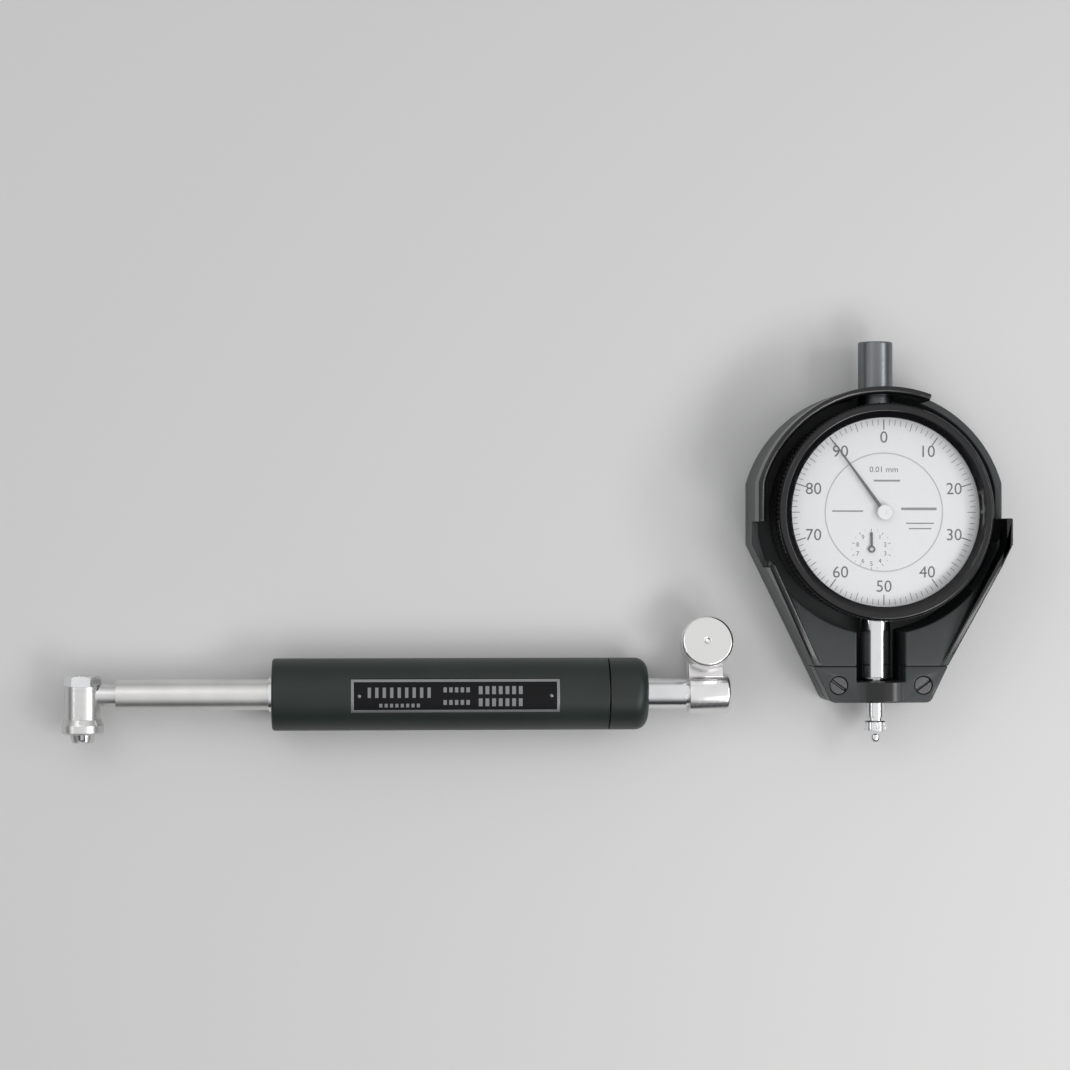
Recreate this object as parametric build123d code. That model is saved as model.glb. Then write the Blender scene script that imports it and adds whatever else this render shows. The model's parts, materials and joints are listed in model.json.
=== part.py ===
from build123d import *
import math
import os

# A dial bore gauge for bores of about 18 to 35 mm, taken apart for storage and lying on a table.
# The measuring stem lies along X, with its two-point head to the left. Its dial indicator lies
# beside it in its guard, face up. +Z is up, and the origin is under the middle of the whole.
# All lengths are millimetres. Head places are distances from the crossing of the head's axis and
# the stem's axis. Dial places are distances from the dial's centre, at the height of its spindle.

# Fits that every piece uses
running_gap = 0.03
fit_gap = 0.01
seat_gap = 0.02
free_gap = 0.3
overrun = 1.0
edge_break = 0.3
spring_wire_sides = 4

# Where the dial lies: the gap between the clamp and the guard, and how far beside the stem
units_gap = 5.7
dial_beside = 48.1

# Head body: a short cylinder across the stem, with a neck that enters the stem tube
head_r = 4.7
head_contact_face = 7.8
seat_joint = 1.3
neck_r = 2.9
neck_end = 8.9
shank_r = 3.1
shank_length = 4.4

# Anvil seat and hexagon nut, on the far side of the head
seat_top = 2.3
seat_floor = 1.9
anvil_spigot_r = 3.2
anvil_spigot_top = 4.6
anvil_bore_r = 2.0
nut_across_flats = 8.5
nut_top = 5.1
nut_mouth_gap = 0.1
nut_corner_break = 0.55
hexagon_sides = 6

# Bell crank, which turns the contact's push into a push along the stem
contact_travel = 1.2
crank_arm = 2.6
crank_arm_width = 0.6
crank_pad_r = 0.6
crank_hub_r = 1.1
crank_thickness = 1.8
crank_pin_r = 0.6
crank_pin_cover = 2.0
crank_pin_sink = 0.3
chamber_play = 0.25

# Contact plunger, its bush and its hard tip
plunger_head_r = 1.0
plunger_head_length = 0.8
plunger_r = 1.6
plunger_flange_r = 1.9
plunger_flange_length = 0.6
plunger_end = 8.6
plunger_bush_r = 2.4
plunger_bush_length = 1.3
tip_r = 0.95
tip_end = 12.45
tip_shank_r = 0.55
tip_shank_length = 1.4

# Sprung guide: a cup over the head with a two-pronged nose
guide_travel = 1.0
guide_lip = 6.4
guide_lip_wall = 0.19
guide_cone_end = 7.9
guide_r = 5.5
guide_floor = 8.9
guide_face = 10.25
guide_chamfer = 0.5
guide_hole_gap = 0.15
nose_root_r = 3.3
nose_end_r = 2.85
nose_end = 12.55
nose_slot = 2.05
guide_pin_r = 0.4
guide_pin_depth = 0.45
guide_pin_at = 7.0
guide_pin_sink = 0.1
guide_spring_wall = 0.45
guide_spring_pocket_r = 3.8
guide_spring_pocket_depth = 2.6
guide_spring_wire_r = 0.2
guide_spring_turns = 4

# Stem tube and what runs inside it
tube_r = 4.1
stem_tube_end = 100.0
tube_joint_gap = 0.4
collar_r = 4.6
collar_length = 0.9
rod_r = 1.0
rod_from_clamp_floor = 16.2
rod_button_r = 1.9
rod_button_length = 2.0
rod_button_depth = 1.0
rod_spring_room = 23.0
rod_collar_length = 2.5
rod_collar_r = 2.6
rod_spring_r = 2.0
rod_spring_wire_r = 0.28
rod_spring_turns = 7
rod_bush_length = 6.0
front_bush_at = 20.0
rear_bush_from_rod_end = 28.3

# Grip: a metal core under a plastic sleeve with an end cap and a nameplate
grip_start = 49.7
grip_end_at = 149.0
grip_r = 9.55
grip_front_wall = 2.3
grip_rear_wall = 2.3
grip_core_r = 6.0
grip_cap_length = 10.6
grip_joint_gap = 0.35
grip_front_round = 0.8
grip_rear_round = 3.4
plate_front_margin = 20.8
plate_rear_margin = 13.2
plate_width = 9.0
plate_thickness = 0.26
plate_recess = 0.24

# Rear tube and the split clamp that holds the dial's stem
rear_tube_showing = 10.3
rear_spigot_r = 3.6
rear_spigot_length = 2.9
clamp_gap = 0.7
clamp_width = 9.2
clamp_boss_length = 1.8
clamp_boss_chamfer = 0.6
clamp_r = 5.3
clamp_bore_r = 4.02
clamp_ear_reach = 16.0
clamp_ear_top = 4.0
clamp_ear_round = 1.2
clamp_slit = 1.0
clamp_floor_gap = 0.05
screw_from_ear_tip = 4.0
screw_r = 2.5
screw_hole_gap = 0.1
screw_knob_r = 6.85
screw_knob_height = 5.0
screw_knob_break = 0.5
washer_r = 4.3
washer_thickness = 0.9

# Dial indicator: case, cover and stem
case_r = 27.5
case_wall = 1.7
case_shoulder = 7.8
case_neck_step = 0.9
case_neck_height = 2.0
case_back = 7.0
web_low = 2.6
web_thickness = 1.2
cover_thickness = 1.0
cover_screw_count = 4
cover_screw_head_r = 1.5
cover_screw_shank_r = 0.8
cover_screw_length = 3.4
cover_post_r = 1.9
cover_post_from_wall = 0.8
stem_r = 4.0
stem_reach = 16.7
boss_wall = 1.2
boss_depth = 4.0
stem_chamfer = 0.4

# Spindle, with a rack on its left side, and the contact point on its end
spindle_travel = 10.0
spindle_r = 2.4
spindle_reach = 10.4
spindle_shoulder_inset = 1.0
rack_rod_r = 2.0
spindle_top_reach = 6.0
point_length = 6.9
point_neck_r = 2.0
point_neck_length = 0.9
point_knurl_r = 2.85
point_knurl_length = 2.6
point_cone_length = 1.2
point_tip_r = 1.3
point_screw_r = 1.2
point_screw_length = 4.0
top_bush_r = 3.5
top_bush_reach = 5.5
cap_r = 4.6
cap_foot_gap = 0.2
cap_length = 17.9
cap_wall = 1.0
cap_round = 0.5

# Guide arm on the spindle, its rail in the case, and the return spring
arm_r = 0.6
arm_at = 3.0
arm_end = 7.2
arm_inset = 0.5
rail_start = 6.2
rail_width = 2.2
rail_depth = 2.2
rail_spare = 1.3
spring_axis = 4.6
spring_post_from_wall = 5.8
spring_post_r = 0.6
spring_post_depth = 1.5
return_spring_r = 0.75
return_spring_wire_r = 0.15
return_spring_turns = 10

# Gear train: the rack turns the counter arbor, whose wheel turns the centre pinion
rack_pitch = 0.625
rack_line = 1.71
rack_teeth_above = 2
rack_teeth_below = 18
pinion_teeth = 16
wheel_teeth = 100
centre_teeth = 10
counter_from_disc_edge = 5.8
pinion_half_width = 1.2
arbor_r = 0.5
pivot_r = 0.3
pivot_length = 0.8
wheel_thickness = 0.6
wheel_gap = 0.4
wheel_hub_r = 1.3
wheel_rim = 1.3
wheel_spoke = 1.0
hair_gear_angle = 45.0
bridge_thickness = 1.0
bridge_gap = 0.6
bridge_post_r = 1.3
bridge_post_from_axis = 10.0
bridge_post_spread = 4.0
top_plate_gap = 4.8
top_plate_low = 6.8
top_plate_thickness = 1.0
pillar_r = 1.5
pillar_from_edge = 2.0
pillar_angles = (100.0, 215.0, 320.0)
plate_screw_r = 0.7
plate_screw_head_r = 1.4
plate_screw_head = 0.8
plate_screw_length = 1.8
hairspring_inner_r = 1.1
hairspring_outer_r = 5.0
hairspring_strip = 0.12
hairspring_height = 0.35
hairspring_turns = 4
hairspring_steps = 18

# Shares of a pitch, and of a module, that shape every small tooth
tooth_root_share = 0.58
tooth_tip_share = 0.20
leaf_root_share = 0.46
leaf_tip_share = 0.16
tooth_rise_share = 0.85
tooth_fall_share = 1.05

# Face: fixed centre disc, turning scale ring, pointer, counter hand
face_seat_height = 0.8
face_thickness = 0.75
scale_ring_width = 10.54
scale_gap = 0.15
face_foot_r = 0.9
face_foot_from_edge = 2.5
face_foot_angles = (60.0, 240.0)
pointer_above_face = 0.85
pointer_thickness = 0.25
pointer_from_rim = 3.69
pointer_root_width = 1.0
pointer_tip_width = 0.3
pointer_turn = 36.0
hub_r = 2.0
hub_height = 0.75
counter_hand_thickness = 0.2
counter_hand_length = 4.4
counter_hand_width = 0.55
counter_hand_hub_r = 0.95

# Bezel and crystal
bezel_overhang = 1.0
bezel_skirt_gap = 0.2
bezel_lip_height = 1.7
bezel_rim_break = 0.6
bezel_rim_width = 1.9
bezel_lip = 1.4
bezel_lip_above_face = 2.85
bezel_lip_edge = 0.25
bezel_seat_step = 0.4
bezel_ledge = 1.0
bezel_ledge_rise = 1.1
bezel_step_gap = 0.3
crystal_thickness = 1.1
bezel_wire_half = 0.35
bezel_wire_rise = 1.1

# Guard: a moulded cover around the dial, with a tapering neck and a clamp bar
guard_floor = 2.0
guard_wall = 2.0
guard_arc_spare = 1.4
guard_arc_centre = -2.0
guard_side_gap = 3.1
guard_rim = 16.0
guard_taper_from = -8.5
guard_neck_half_width = 13.2
guard_opening_gap = 3.7
guard_slot = 13.0
guard_slot_spare = 0.6
guard_bridge_width = 5.5
guard_bar_shoulder = 4.1
guard_plate_top = 8.5
guard_slope_from = -14.4
guard_bar_gap = 0.3
guard_bridge_rise = 1.5
guard_bridge_r = 12.0
guard_tube_gap = 0.05
guard_cut_low = 3.0
guard_left_cut_top = -2.5
guard_right_cut_low = -1.6
guard_right_cut_angle = 69.0
guard_cap_gap = 0.5
guard_corner_round = 2.0
guard_screw_from_edge = 1.9
guard_screw_inset = 0.9
guard_screw_head_r = 2.3
guard_screw_head = 2.0
guard_screw_shank_r = 1.5
guard_screw_hole_gap = 0.1
guard_screw_length = 14.0
guard_screw_slot = 0.6
guard_screw_slot_depth = 0.8
guard_screw_turn = 36.0

# Heights and places that follow from the sizes above
grip_joint_at = grip_end_at - grip_cap_length
plate_start = grip_start + plate_front_margin
plate_length = grip_joint_at - plate_rear_margin - plate_start
rear_tube_end = grip_end_at + rear_tube_showing
clamp_start = rear_tube_end + clamp_gap
clamp_end = clamp_start + clamp_width + clamp_boss_length
clamp_stem_floor = rear_tube_end + rear_spigot_length + free_gap
screw_along = clamp_start + clamp_width / 2
screw_from_axis = clamp_ear_reach - screw_from_ear_tip
screw_tip = clamp_r - free_gap
rod_end = clamp_stem_floor - rod_from_clamp_floor
rear_bush_at = rod_end - rear_bush_from_rod_end
rod_collar_at = rear_bush_at - rod_spring_room
case_front = case_shoulder + case_neck_height
case_inside_r = case_r - case_wall
case_neck_r = case_r - case_neck_step
stem_end = case_r + stem_reach
spindle_end = stem_end + spindle_reach
spindle_shoulder = case_r - spindle_shoulder_inset
spindle_top = case_r + spindle_top_reach
point_end = spindle_end + point_length
top_bush_end = case_r + top_bush_reach
cap_start = case_r + cap_foot_gap
cap_end = cap_start + cap_length
spring_post_at = case_inside_r - spring_post_from_wall
top_plate_r = case_inside_r - top_plate_gap
pillar_from_centre = top_plate_r - pillar_from_edge
bezel_r = case_r + bezel_overhang
bezel_rim_r = bezel_r - bezel_rim_width
bezel_inside_r = case_neck_r - bezel_seat_step
bezel_opening_r = bezel_inside_r - bezel_lip
bezel_ledge_r = bezel_inside_r - bezel_ledge
bezel_low = case_shoulder + bezel_skirt_gap
bezel_wire_at = case_shoulder + bezel_wire_rise
bezel_ledge_low = case_front + bezel_ledge_rise
face_low = bezel_ledge_low + face_seat_height
face_top = face_low + face_thickness
bezel_lip_low = face_top + bezel_lip_above_face
bezel_top = bezel_lip_low + bezel_lip_height
crystal_top = bezel_lip_low - seat_gap
scale_outer_r = bezel_inside_r - fit_gap
scale_inner_r = scale_outer_r - scale_ring_width
centre_disc_r = scale_inner_r - scale_gap
face_foot_from_centre = centre_disc_r - face_foot_from_edge
pointer_low = face_top + pointer_above_face
pointer_length = scale_outer_r - pointer_from_rim
counter_hand_low = face_top + free_gap
counter_below = centre_disc_r - counter_from_disc_edge
guard_half_width = bezel_r + guard_side_gap + guard_wall
dial_along = clamp_end + units_gap + guard_half_width
guard_screw_from_axis = guard_neck_half_width - guard_screw_from_edge
guard_arc_r = guard_half_width + guard_arc_spare
guard_opening_r = bezel_r + guard_opening_gap
guard_slot_end = -(stem_end + guard_slot_spare)
guard_neck_end = guard_slot_end - guard_bridge_width
guard_bar_from = guard_slot_end + guard_bar_shoulder
guard_screw_at = guard_slot_end - guard_screw_inset
nut_corner_r = nut_across_flats / 2 / math.cos(math.pi / hexagon_sides)
tube_bore_r = shank_r + fit_gap
crank_swing = math.asin(contact_travel / 2 / crank_arm)
crank_rest_reach = crank_arm * math.sin(crank_swing)
plunger_top = -(crank_arm + crank_rest_reach + crank_pad_r + seat_gap)
rod_start = crank_arm - crank_rest_reach + crank_pad_r + seat_gap
chamber_floor = plunger_top - chamber_play
bush_top = -(head_contact_face - plunger_bush_length)
clamp_roll = math.degrees(
    math.asin((grip_r - clamp_floor_gap) / math.hypot(clamp_ear_reach, clamp_r))
    - math.atan2(clamp_r, clamp_ear_reach)
)
spindle_height = guard_floor + case_back + cover_thickness
rack_module = rack_pitch / math.pi
pinion_r = rack_module * pinion_teeth / 2
counter_left = rack_line + pinion_r
wheel_distance = math.hypot(counter_left, counter_below)
wheel_module = 2 * wheel_distance / (wheel_teeth + centre_teeth)
counter_axis = (-counter_left, -counter_below)
counter_angle = math.degrees(math.atan2(counter_below, counter_left))
hair_axis = (
    wheel_distance * math.cos(math.radians(hair_gear_angle)),
    wheel_distance * math.sin(math.radians(hair_gear_angle)),
)
web_top = web_low + web_thickness
counter_wheel_low = web_top + wheel_gap
hair_wheel_low = counter_wheel_low + wheel_thickness + wheel_gap + seat_gap
centre_pinion_top = hair_wheel_low + wheel_thickness + wheel_gap / 2
hairspring_low = hair_wheel_low + wheel_thickness + seat_gap
top_plate_top = top_plate_low + top_plate_thickness
bridge_top = -(spindle_r + bridge_gap)
gauge_left = -guide_r
gauge_right = dial_along + guard_half_width
gauge_near = min(dial_beside - point_end, -nose_end)
gauge_far = dial_beside + cap_end
stem_place = Pos(-(gauge_left + gauge_right) / 2, -(gauge_near + gauge_far) / 2, grip_r)
dial_place = Pos(
    dial_along - (gauge_left + gauge_right) / 2,
    dial_beside - (gauge_near + gauge_far) / 2,
    spindle_height,
)


def disc(radius, low, high):
    """A round bar along Z between two heights."""
    return Pos(0, 0, low) * Cylinder(
        radius, high - low, align=(Align.CENTER, Align.CENTER, Align.MIN)
    )


def ring(outer, inner, low, high):
    """A round tube along Z between two heights."""
    return disc(outer, low, high) - disc(inner, low - overrun, high + overrun)


def block(x, y, z):
    """A box from its (low, high) along each axis."""
    return Pos(x[0], y[0], z[0]) * Box(x[1] - x[0], y[1] - y[0], z[1] - z[0], align=(Align.MIN,) * 3)


def plate(outline, low, high):
    """A flat outline raised between two heights."""
    return extrude(Pos(0, 0, low) * outline, amount=high - low, dir=(0, 0, 1))


def turned(*points):
    """A turned piece: its half section as (radius, height) points, spun round Z."""
    return revolve(make_face(Plane.XZ * Polyline(*points, close=True)), Axis.Z)


def along_x(shape):
    """Lays a piece made along Z along X."""
    return Rot(0, 90, 0) * shape


def along_y(shape):
    """Lays a piece made along Z along Y."""
    return Rot(-90, 0, 0) * shape


def round_places(radius, angles):
    """Places on a circle about Z."""
    return [
        Pos(radius * math.cos(math.radians(a)), radius * math.sin(math.radians(a)), 0)
        for a in angles
    ]


def coil(mean_r, wire_r, low, high, turns):
    """A coil spring along Z between two heights, of square wire."""
    length = high - low - 2 * wire_r
    path = Helix(pitch=length / turns, height=length, radius=mean_r)
    wire = Plane(origin=path @ 0, z_dir=path % 0) * RegularPolygon(wire_r, spring_wire_sides)
    return Pos(0, 0, low + wire_r) * sweep(wire, path=path, is_frenet=True)


def toothed(teeth, module, root_share, tip_share, turn):
    """A gear's outline, with straight-sided teeth. One tooth points at the angle turn, in degrees."""
    pitch_r = module * teeth / 2
    root_r = pitch_r - module * tooth_fall_share
    crest_r = pitch_r + module * tooth_rise_share
    step = 2 * math.pi / teeth
    points = []
    for n in range(teeth):
        middle = math.radians(turn) + n * step
        for radius, half in (
            (root_r, -root_share / 2),
            (crest_r, -tip_share / 2),
            (crest_r, tip_share / 2),
            (root_r, root_share / 2),
        ):
            angle = middle + half * step
            points.append((radius * math.cos(angle), radius * math.sin(angle)))
    return make_face(Polyline(*points, close=True))


# Head pieces

def make_head_body():
    cross = along_y(disc(head_r, -head_contact_face, seat_joint))
    neck = along_x(disc(neck_r, 0, neck_end))
    shank = along_x(disc(shank_r, neck_end, neck_end + shank_length))
    body = cross + neck + shank
    chamber = block(
        (-crank_pad_r - chamber_play, crank_arm + crank_hub_r + chamber_play),
        (chamber_floor, seat_joint + overrun),
        (-crank_thickness / 2 - running_gap, crank_thickness / 2 + running_gap),
    )
    rod_bore = along_x(disc(rod_r + running_gap, 0, neck_end + shank_length + overrun))
    seat_room = along_y(disc(nut_corner_r + running_gap, seat_joint, neck_r + overrun))
    pressed_top = plunger_top + contact_travel + chamber_play / 2
    head_bore = along_y(disc(plunger_head_r + running_gap, bush_top, pressed_top))
    flange_bore = along_y(
        disc(plunger_flange_r + running_gap, bush_top, pressed_top - plunger_head_length)
    )
    bush_bore = along_y(
        disc(plunger_bush_r + fit_gap, -head_contact_face - overrun, bush_top)
    )
    pocket = along_y(
        ring(
            guide_spring_pocket_r,
            plunger_bush_r + guide_spring_wall,
            -head_contact_face - overrun,
            -head_contact_face + guide_spring_pocket_depth,
        )
    )
    pin_hole = Pos(crank_arm, -crank_arm, 0) * disc(
        crank_pin_r + fit_gap, -head_r, crank_pin_cover
    )
    slot_half = guide_pin_r + running_gap
    slots = block(
        (-slot_half, slot_half),
        (-guide_pin_at - slot_half, -guide_pin_at + guide_travel + slot_half),
        (head_r - guide_pin_depth, head_r + overrun),
    )
    return body - [
        chamber, rod_bore, seat_room, head_bore, flange_bore, bush_bore, pocket, pin_hole,
        slots, mirror(slots, Plane.XY),
    ]


def make_anvil_seat():
    return along_y(
        turned(
            (0, seat_joint), (head_r, seat_joint), (head_r, seat_top), (anvil_spigot_r, seat_top),
            (anvil_spigot_r, anvil_spigot_top), (anvil_bore_r, anvil_spigot_top),
            (anvil_bore_r, seat_floor), (0, seat_floor),
        )
    )


def make_anvil_nut():
    hexagon = plate(
        RegularPolygon(nut_across_flats / 2, hexagon_sides, major_radius=False), seat_top, nut_top
    )
    dome = turned(
        (0, seat_top), (nut_corner_r, seat_top), (nut_corner_r, nut_top - nut_corner_break),
        (nut_across_flats / 2, nut_top), (0, nut_top),
    )
    spigot = disc(anvil_spigot_r + fit_gap, seat_top - overrun, anvil_spigot_top + seat_gap)
    mouth = disc(anvil_bore_r + nut_mouth_gap, seat_top, nut_top + overrun)
    return along_y((hexagon & dome) - spigot - mouth)


def make_guide():
    inside = head_r + running_gap
    hole = plunger_r + guide_hole_gap
    cup = turned(
        (inside, -guide_lip), (inside + guide_lip_wall, -guide_lip), (guide_r, -guide_cone_end),
        (guide_r, -guide_face + guide_chamfer), (guide_r - guide_chamfer, -guide_face),
        (nose_root_r, -guide_face), (nose_end_r, -nose_end + edge_break),
        (nose_end_r - edge_break, -nose_end), (0, -nose_end), (0, -guide_face), (hole, -guide_face),
        (hole, -guide_floor), (inside, -guide_floor),
    )
    slot = block(
        (-nose_slot / 2, nose_slot / 2), (-guide_r, guide_r), (-nose_end - overrun, -guide_face)
    )
    pin_holes = Rot(90, 0, 0) * Pos(0, 0, -guide_r) * Cylinder(guide_pin_r + fit_gap, guide_r)
    drilled = cup - slot
    hole_bar = Pos(0, 0, -guide_pin_at) * pin_holes
    return along_y(drilled - hole_bar - mirror(hole_bar, Plane.XZ))


def make_guide_pins():
    share = (guide_pin_at - guide_lip) / (guide_cone_end - guide_lip)
    lip_r = head_r + running_gap + guide_lip_wall
    surface = lip_r + (guide_r - lip_r) * share
    pin = Pos(0, -guide_pin_at, 0) * disc(
        guide_pin_r, head_r - guide_pin_depth + guide_pin_sink, surface - guide_pin_sink
    )
    return Compound(children=[pin, mirror(pin, Plane.XY)])


def make_guide_spring():
    mean_r = (guide_spring_pocket_r + plunger_bush_r + guide_spring_wall) / 2
    return along_y(
        coil(
            mean_r, guide_spring_wire_r, -guide_floor + seat_gap,
            -head_contact_face + guide_spring_pocket_depth - seat_gap, guide_spring_turns,
        )
    )


def make_plunger():
    flange_low = bush_top + seat_gap
    body = turned(
        (0, plunger_top), (plunger_head_r, plunger_top),
        (plunger_head_r, plunger_top - plunger_head_length),
        (plunger_r, plunger_top - plunger_head_length),
        (plunger_r, flange_low + plunger_flange_length),
        (plunger_flange_r, flange_low + plunger_flange_length), (plunger_flange_r, flange_low),
        (plunger_r, flange_low), (plunger_r, -plunger_end), (0, -plunger_end),
    )
    screw_hole = disc(tip_shank_r + fit_gap, -plunger_end - overrun, -plunger_end + tip_shank_length)
    return along_y(body - screw_hole)


def make_contact_tip():
    shank = disc(tip_shank_r, -plunger_end, -plunger_end + tip_shank_length - seat_gap)
    pin = disc(tip_r, -tip_end + tip_r, -plunger_end)
    ball = Pos(0, 0, -tip_end + tip_r) * Sphere(tip_r)
    return along_y(shank + pin + ball)


def make_plunger_bush():
    return along_y(
        ring(plunger_bush_r, plunger_r + running_gap, -head_contact_face, bush_top)
    )


def make_bell_crank():
    swing = math.degrees(crank_swing)
    arm = Pos(-crank_arm / 2, 0) * Rectangle(crank_arm, crank_arm_width)
    arm += Pos(-crank_arm, 0) * Circle(crank_pad_r)
    elbow = Circle(crank_hub_r) + arm + Rot(0, 0, -90) * arm
    elbow -= Circle(crank_pin_r + running_gap)
    half = crank_thickness / 2
    return Pos(crank_arm, -crank_arm, 0) * Rot(0, 0, swing) * plate(elbow, -half, half)


def make_crank_pin():
    surface = math.sqrt(head_r**2 - crank_arm**2)
    return Pos(crank_arm, -crank_arm, 0) * disc(
        crank_pin_r, -surface + crank_pin_sink, crank_pin_cover - seat_gap
    )


# Stem pieces

def make_stem_tube():
    return along_x(ring(tube_r, tube_bore_r, neck_end, stem_tube_end))


def make_tube_collar():
    return along_x(ring(collar_r, tube_r + fit_gap, grip_start - collar_length, grip_start))


def make_push_rod():
    return along_x(
        turned(
            (0, rod_start), (rod_r, rod_start), (rod_r, rod_end - edge_break),
            (rod_r - edge_break, rod_end), (0, rod_end),
        )
    )


def make_rod_button():
    low = rod_end - rod_button_depth
    body = turned(
        (0, low), (rod_button_r, low), (rod_button_r, low + rod_button_length - edge_break),
        (rod_button_r - edge_break, low + rod_button_length), (0, low + rod_button_length),
    )
    return along_x(body - disc(rod_r + fit_gap, low - overrun, rod_end + seat_gap))


def make_rod_collar():
    return along_x(
        ring(rod_collar_r, rod_r + fit_gap, rod_collar_at, rod_collar_at + rod_collar_length)
    )


def make_rod_spring():
    low = rod_collar_at + rod_collar_length + seat_gap
    return along_x(
        coil(rod_spring_r, rod_spring_wire_r, low, rear_bush_at - seat_gap, rod_spring_turns)
    )


def make_rod_bush(at):
    return along_x(ring(tube_bore_r - fit_gap, rod_r + running_gap, at, at + rod_bush_length))


def make_grip_core():
    return along_x(
        ring(
            grip_core_r, tube_r + fit_gap,
            grip_start + grip_front_wall + seat_gap, grip_end_at - grip_rear_wall - seat_gap,
        )
    )


def plate_band(inner_r, outer_r, margin):
    """A strip bent round the grip, on top of it, where the nameplate lies."""
    low, high = plate_start - margin, plate_start + plate_length + margin
    half = plate_width / 2 + margin
    band = along_x(ring(outer_r, inner_r, low, high))
    return band & block((low, high), (-half, half), (0, outer_r))


def make_grip_sleeve():
    body = along_x(disc(grip_r, grip_start, grip_joint_at))
    front = body.edges().group_by(Axis.X)[0]
    body = fillet(front, grip_front_round)
    core_hole = along_x(
        disc(grip_core_r + fit_gap, grip_start + grip_front_wall, grip_joint_at + overrun)
    )
    tube_hole = along_x(disc(tube_r + fit_gap, grip_start - overrun, grip_joint_at))
    recess = plate_band(grip_r - plate_recess, grip_r + overrun, seat_gap)
    return body - core_hole - tube_hole - recess


def make_grip_end():
    body = along_x(disc(grip_r, grip_joint_at + grip_joint_gap, grip_end_at))
    rear = body.edges().group_by(Axis.X)[-1]
    body = fillet(rear, grip_rear_round)
    core_hole = along_x(
        disc(grip_core_r + fit_gap, grip_joint_at - overrun, grip_end_at - grip_rear_wall)
    )
    tube_hole = along_x(disc(tube_r + fit_gap, grip_joint_at, grip_end_at + overrun))
    return body - core_hole - tube_hole


def make_nameplate():
    inner_r = grip_r - plate_recess + fit_gap
    return plate_band(inner_r, inner_r + plate_thickness, 0)


def make_rear_tube():
    start = stem_tube_end + tube_joint_gap
    outside = disc(tube_r, start, rear_tube_end)
    outside += disc(rear_spigot_r, rear_tube_end, rear_tube_end + rear_spigot_length)
    return along_x(outside - disc(tube_bore_r, start - overrun, clamp_end))


# Dial clamp pieces, made upright and then rolled about the stem's axis

def rolled(shape):
    """Turns a clamp piece about the stem's axis until its lower ear nearly meets the table."""
    return Rot(-clamp_roll, 0, 0) * shape


def make_dial_clamp():
    low, high = clamp_start, clamp_start + clamp_width
    ear = block((low, high), (0, clamp_ear_reach), (-clamp_r, clamp_ear_top))
    tips = [e for e in ear.edges().filter_by(Axis.X) if e.center().Y > screw_from_axis]
    ear = fillet(tips, clamp_ear_round)
    boss = disc(clamp_r, low, clamp_end)
    boss = along_x(chamfer(boss.edges().group_by(Axis.Z)[-1], clamp_boss_chamfer))
    stem_bore = along_x(disc(clamp_bore_r, clamp_stem_floor, clamp_end + overrun))
    tube_bore = along_x(disc(rear_spigot_r + fit_gap, low - overrun, clamp_stem_floor))
    half = clamp_slit / 2
    slit = block((low - overrun, clamp_end + overrun), (0, clamp_ear_reach + overrun), (-half, half))
    screw_place = Pos(screw_along, screw_from_axis, 0)
    upper_hole = screw_place * disc(screw_r + screw_hole_gap, 0, clamp_ear_top + overrun)
    lower_hole = screw_place * disc(screw_r + running_gap, -clamp_r - overrun, 0)
    return rolled((ear + boss) - [stem_bore, tube_bore, slit, upper_hole, lower_hole])


def make_clamp_washer():
    washer = ring(washer_r, screw_r + screw_hole_gap, clamp_ear_top, clamp_ear_top + washer_thickness)
    return rolled(Pos(screw_along, screw_from_axis, 0) * washer)


def make_clamp_screw():
    low = clamp_ear_top + washer_thickness
    top = low + screw_knob_height
    screw = turned(
        (0, -screw_tip), (screw_r - edge_break, -screw_tip), (screw_r, -screw_tip + edge_break),
        (screw_r, low), (screw_knob_r - screw_knob_break, low),
        (screw_knob_r, low + screw_knob_break), (screw_knob_r, top - screw_knob_break),
        (screw_knob_r - screw_knob_break, top), (0, top),
    )
    return rolled(Pos(screw_along, screw_from_axis, 0) * screw)


# Dial case pieces

def bezel_wire_ring(gap):
    """The square wire that holds the bezel on the case, or the groove that it lies in."""
    half = bezel_wire_half + gap
    return ring(case_neck_r + half, case_neck_r - half, bezel_wire_at - half, bezel_wire_at + half)


def cover_screw_places():
    step = 360 / cover_screw_count
    from_centre = case_inside_r - cover_post_from_wall - cover_post_r
    return round_places(from_centre, [step * (n + 1 / 2) for n in range(cover_screw_count)])


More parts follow.
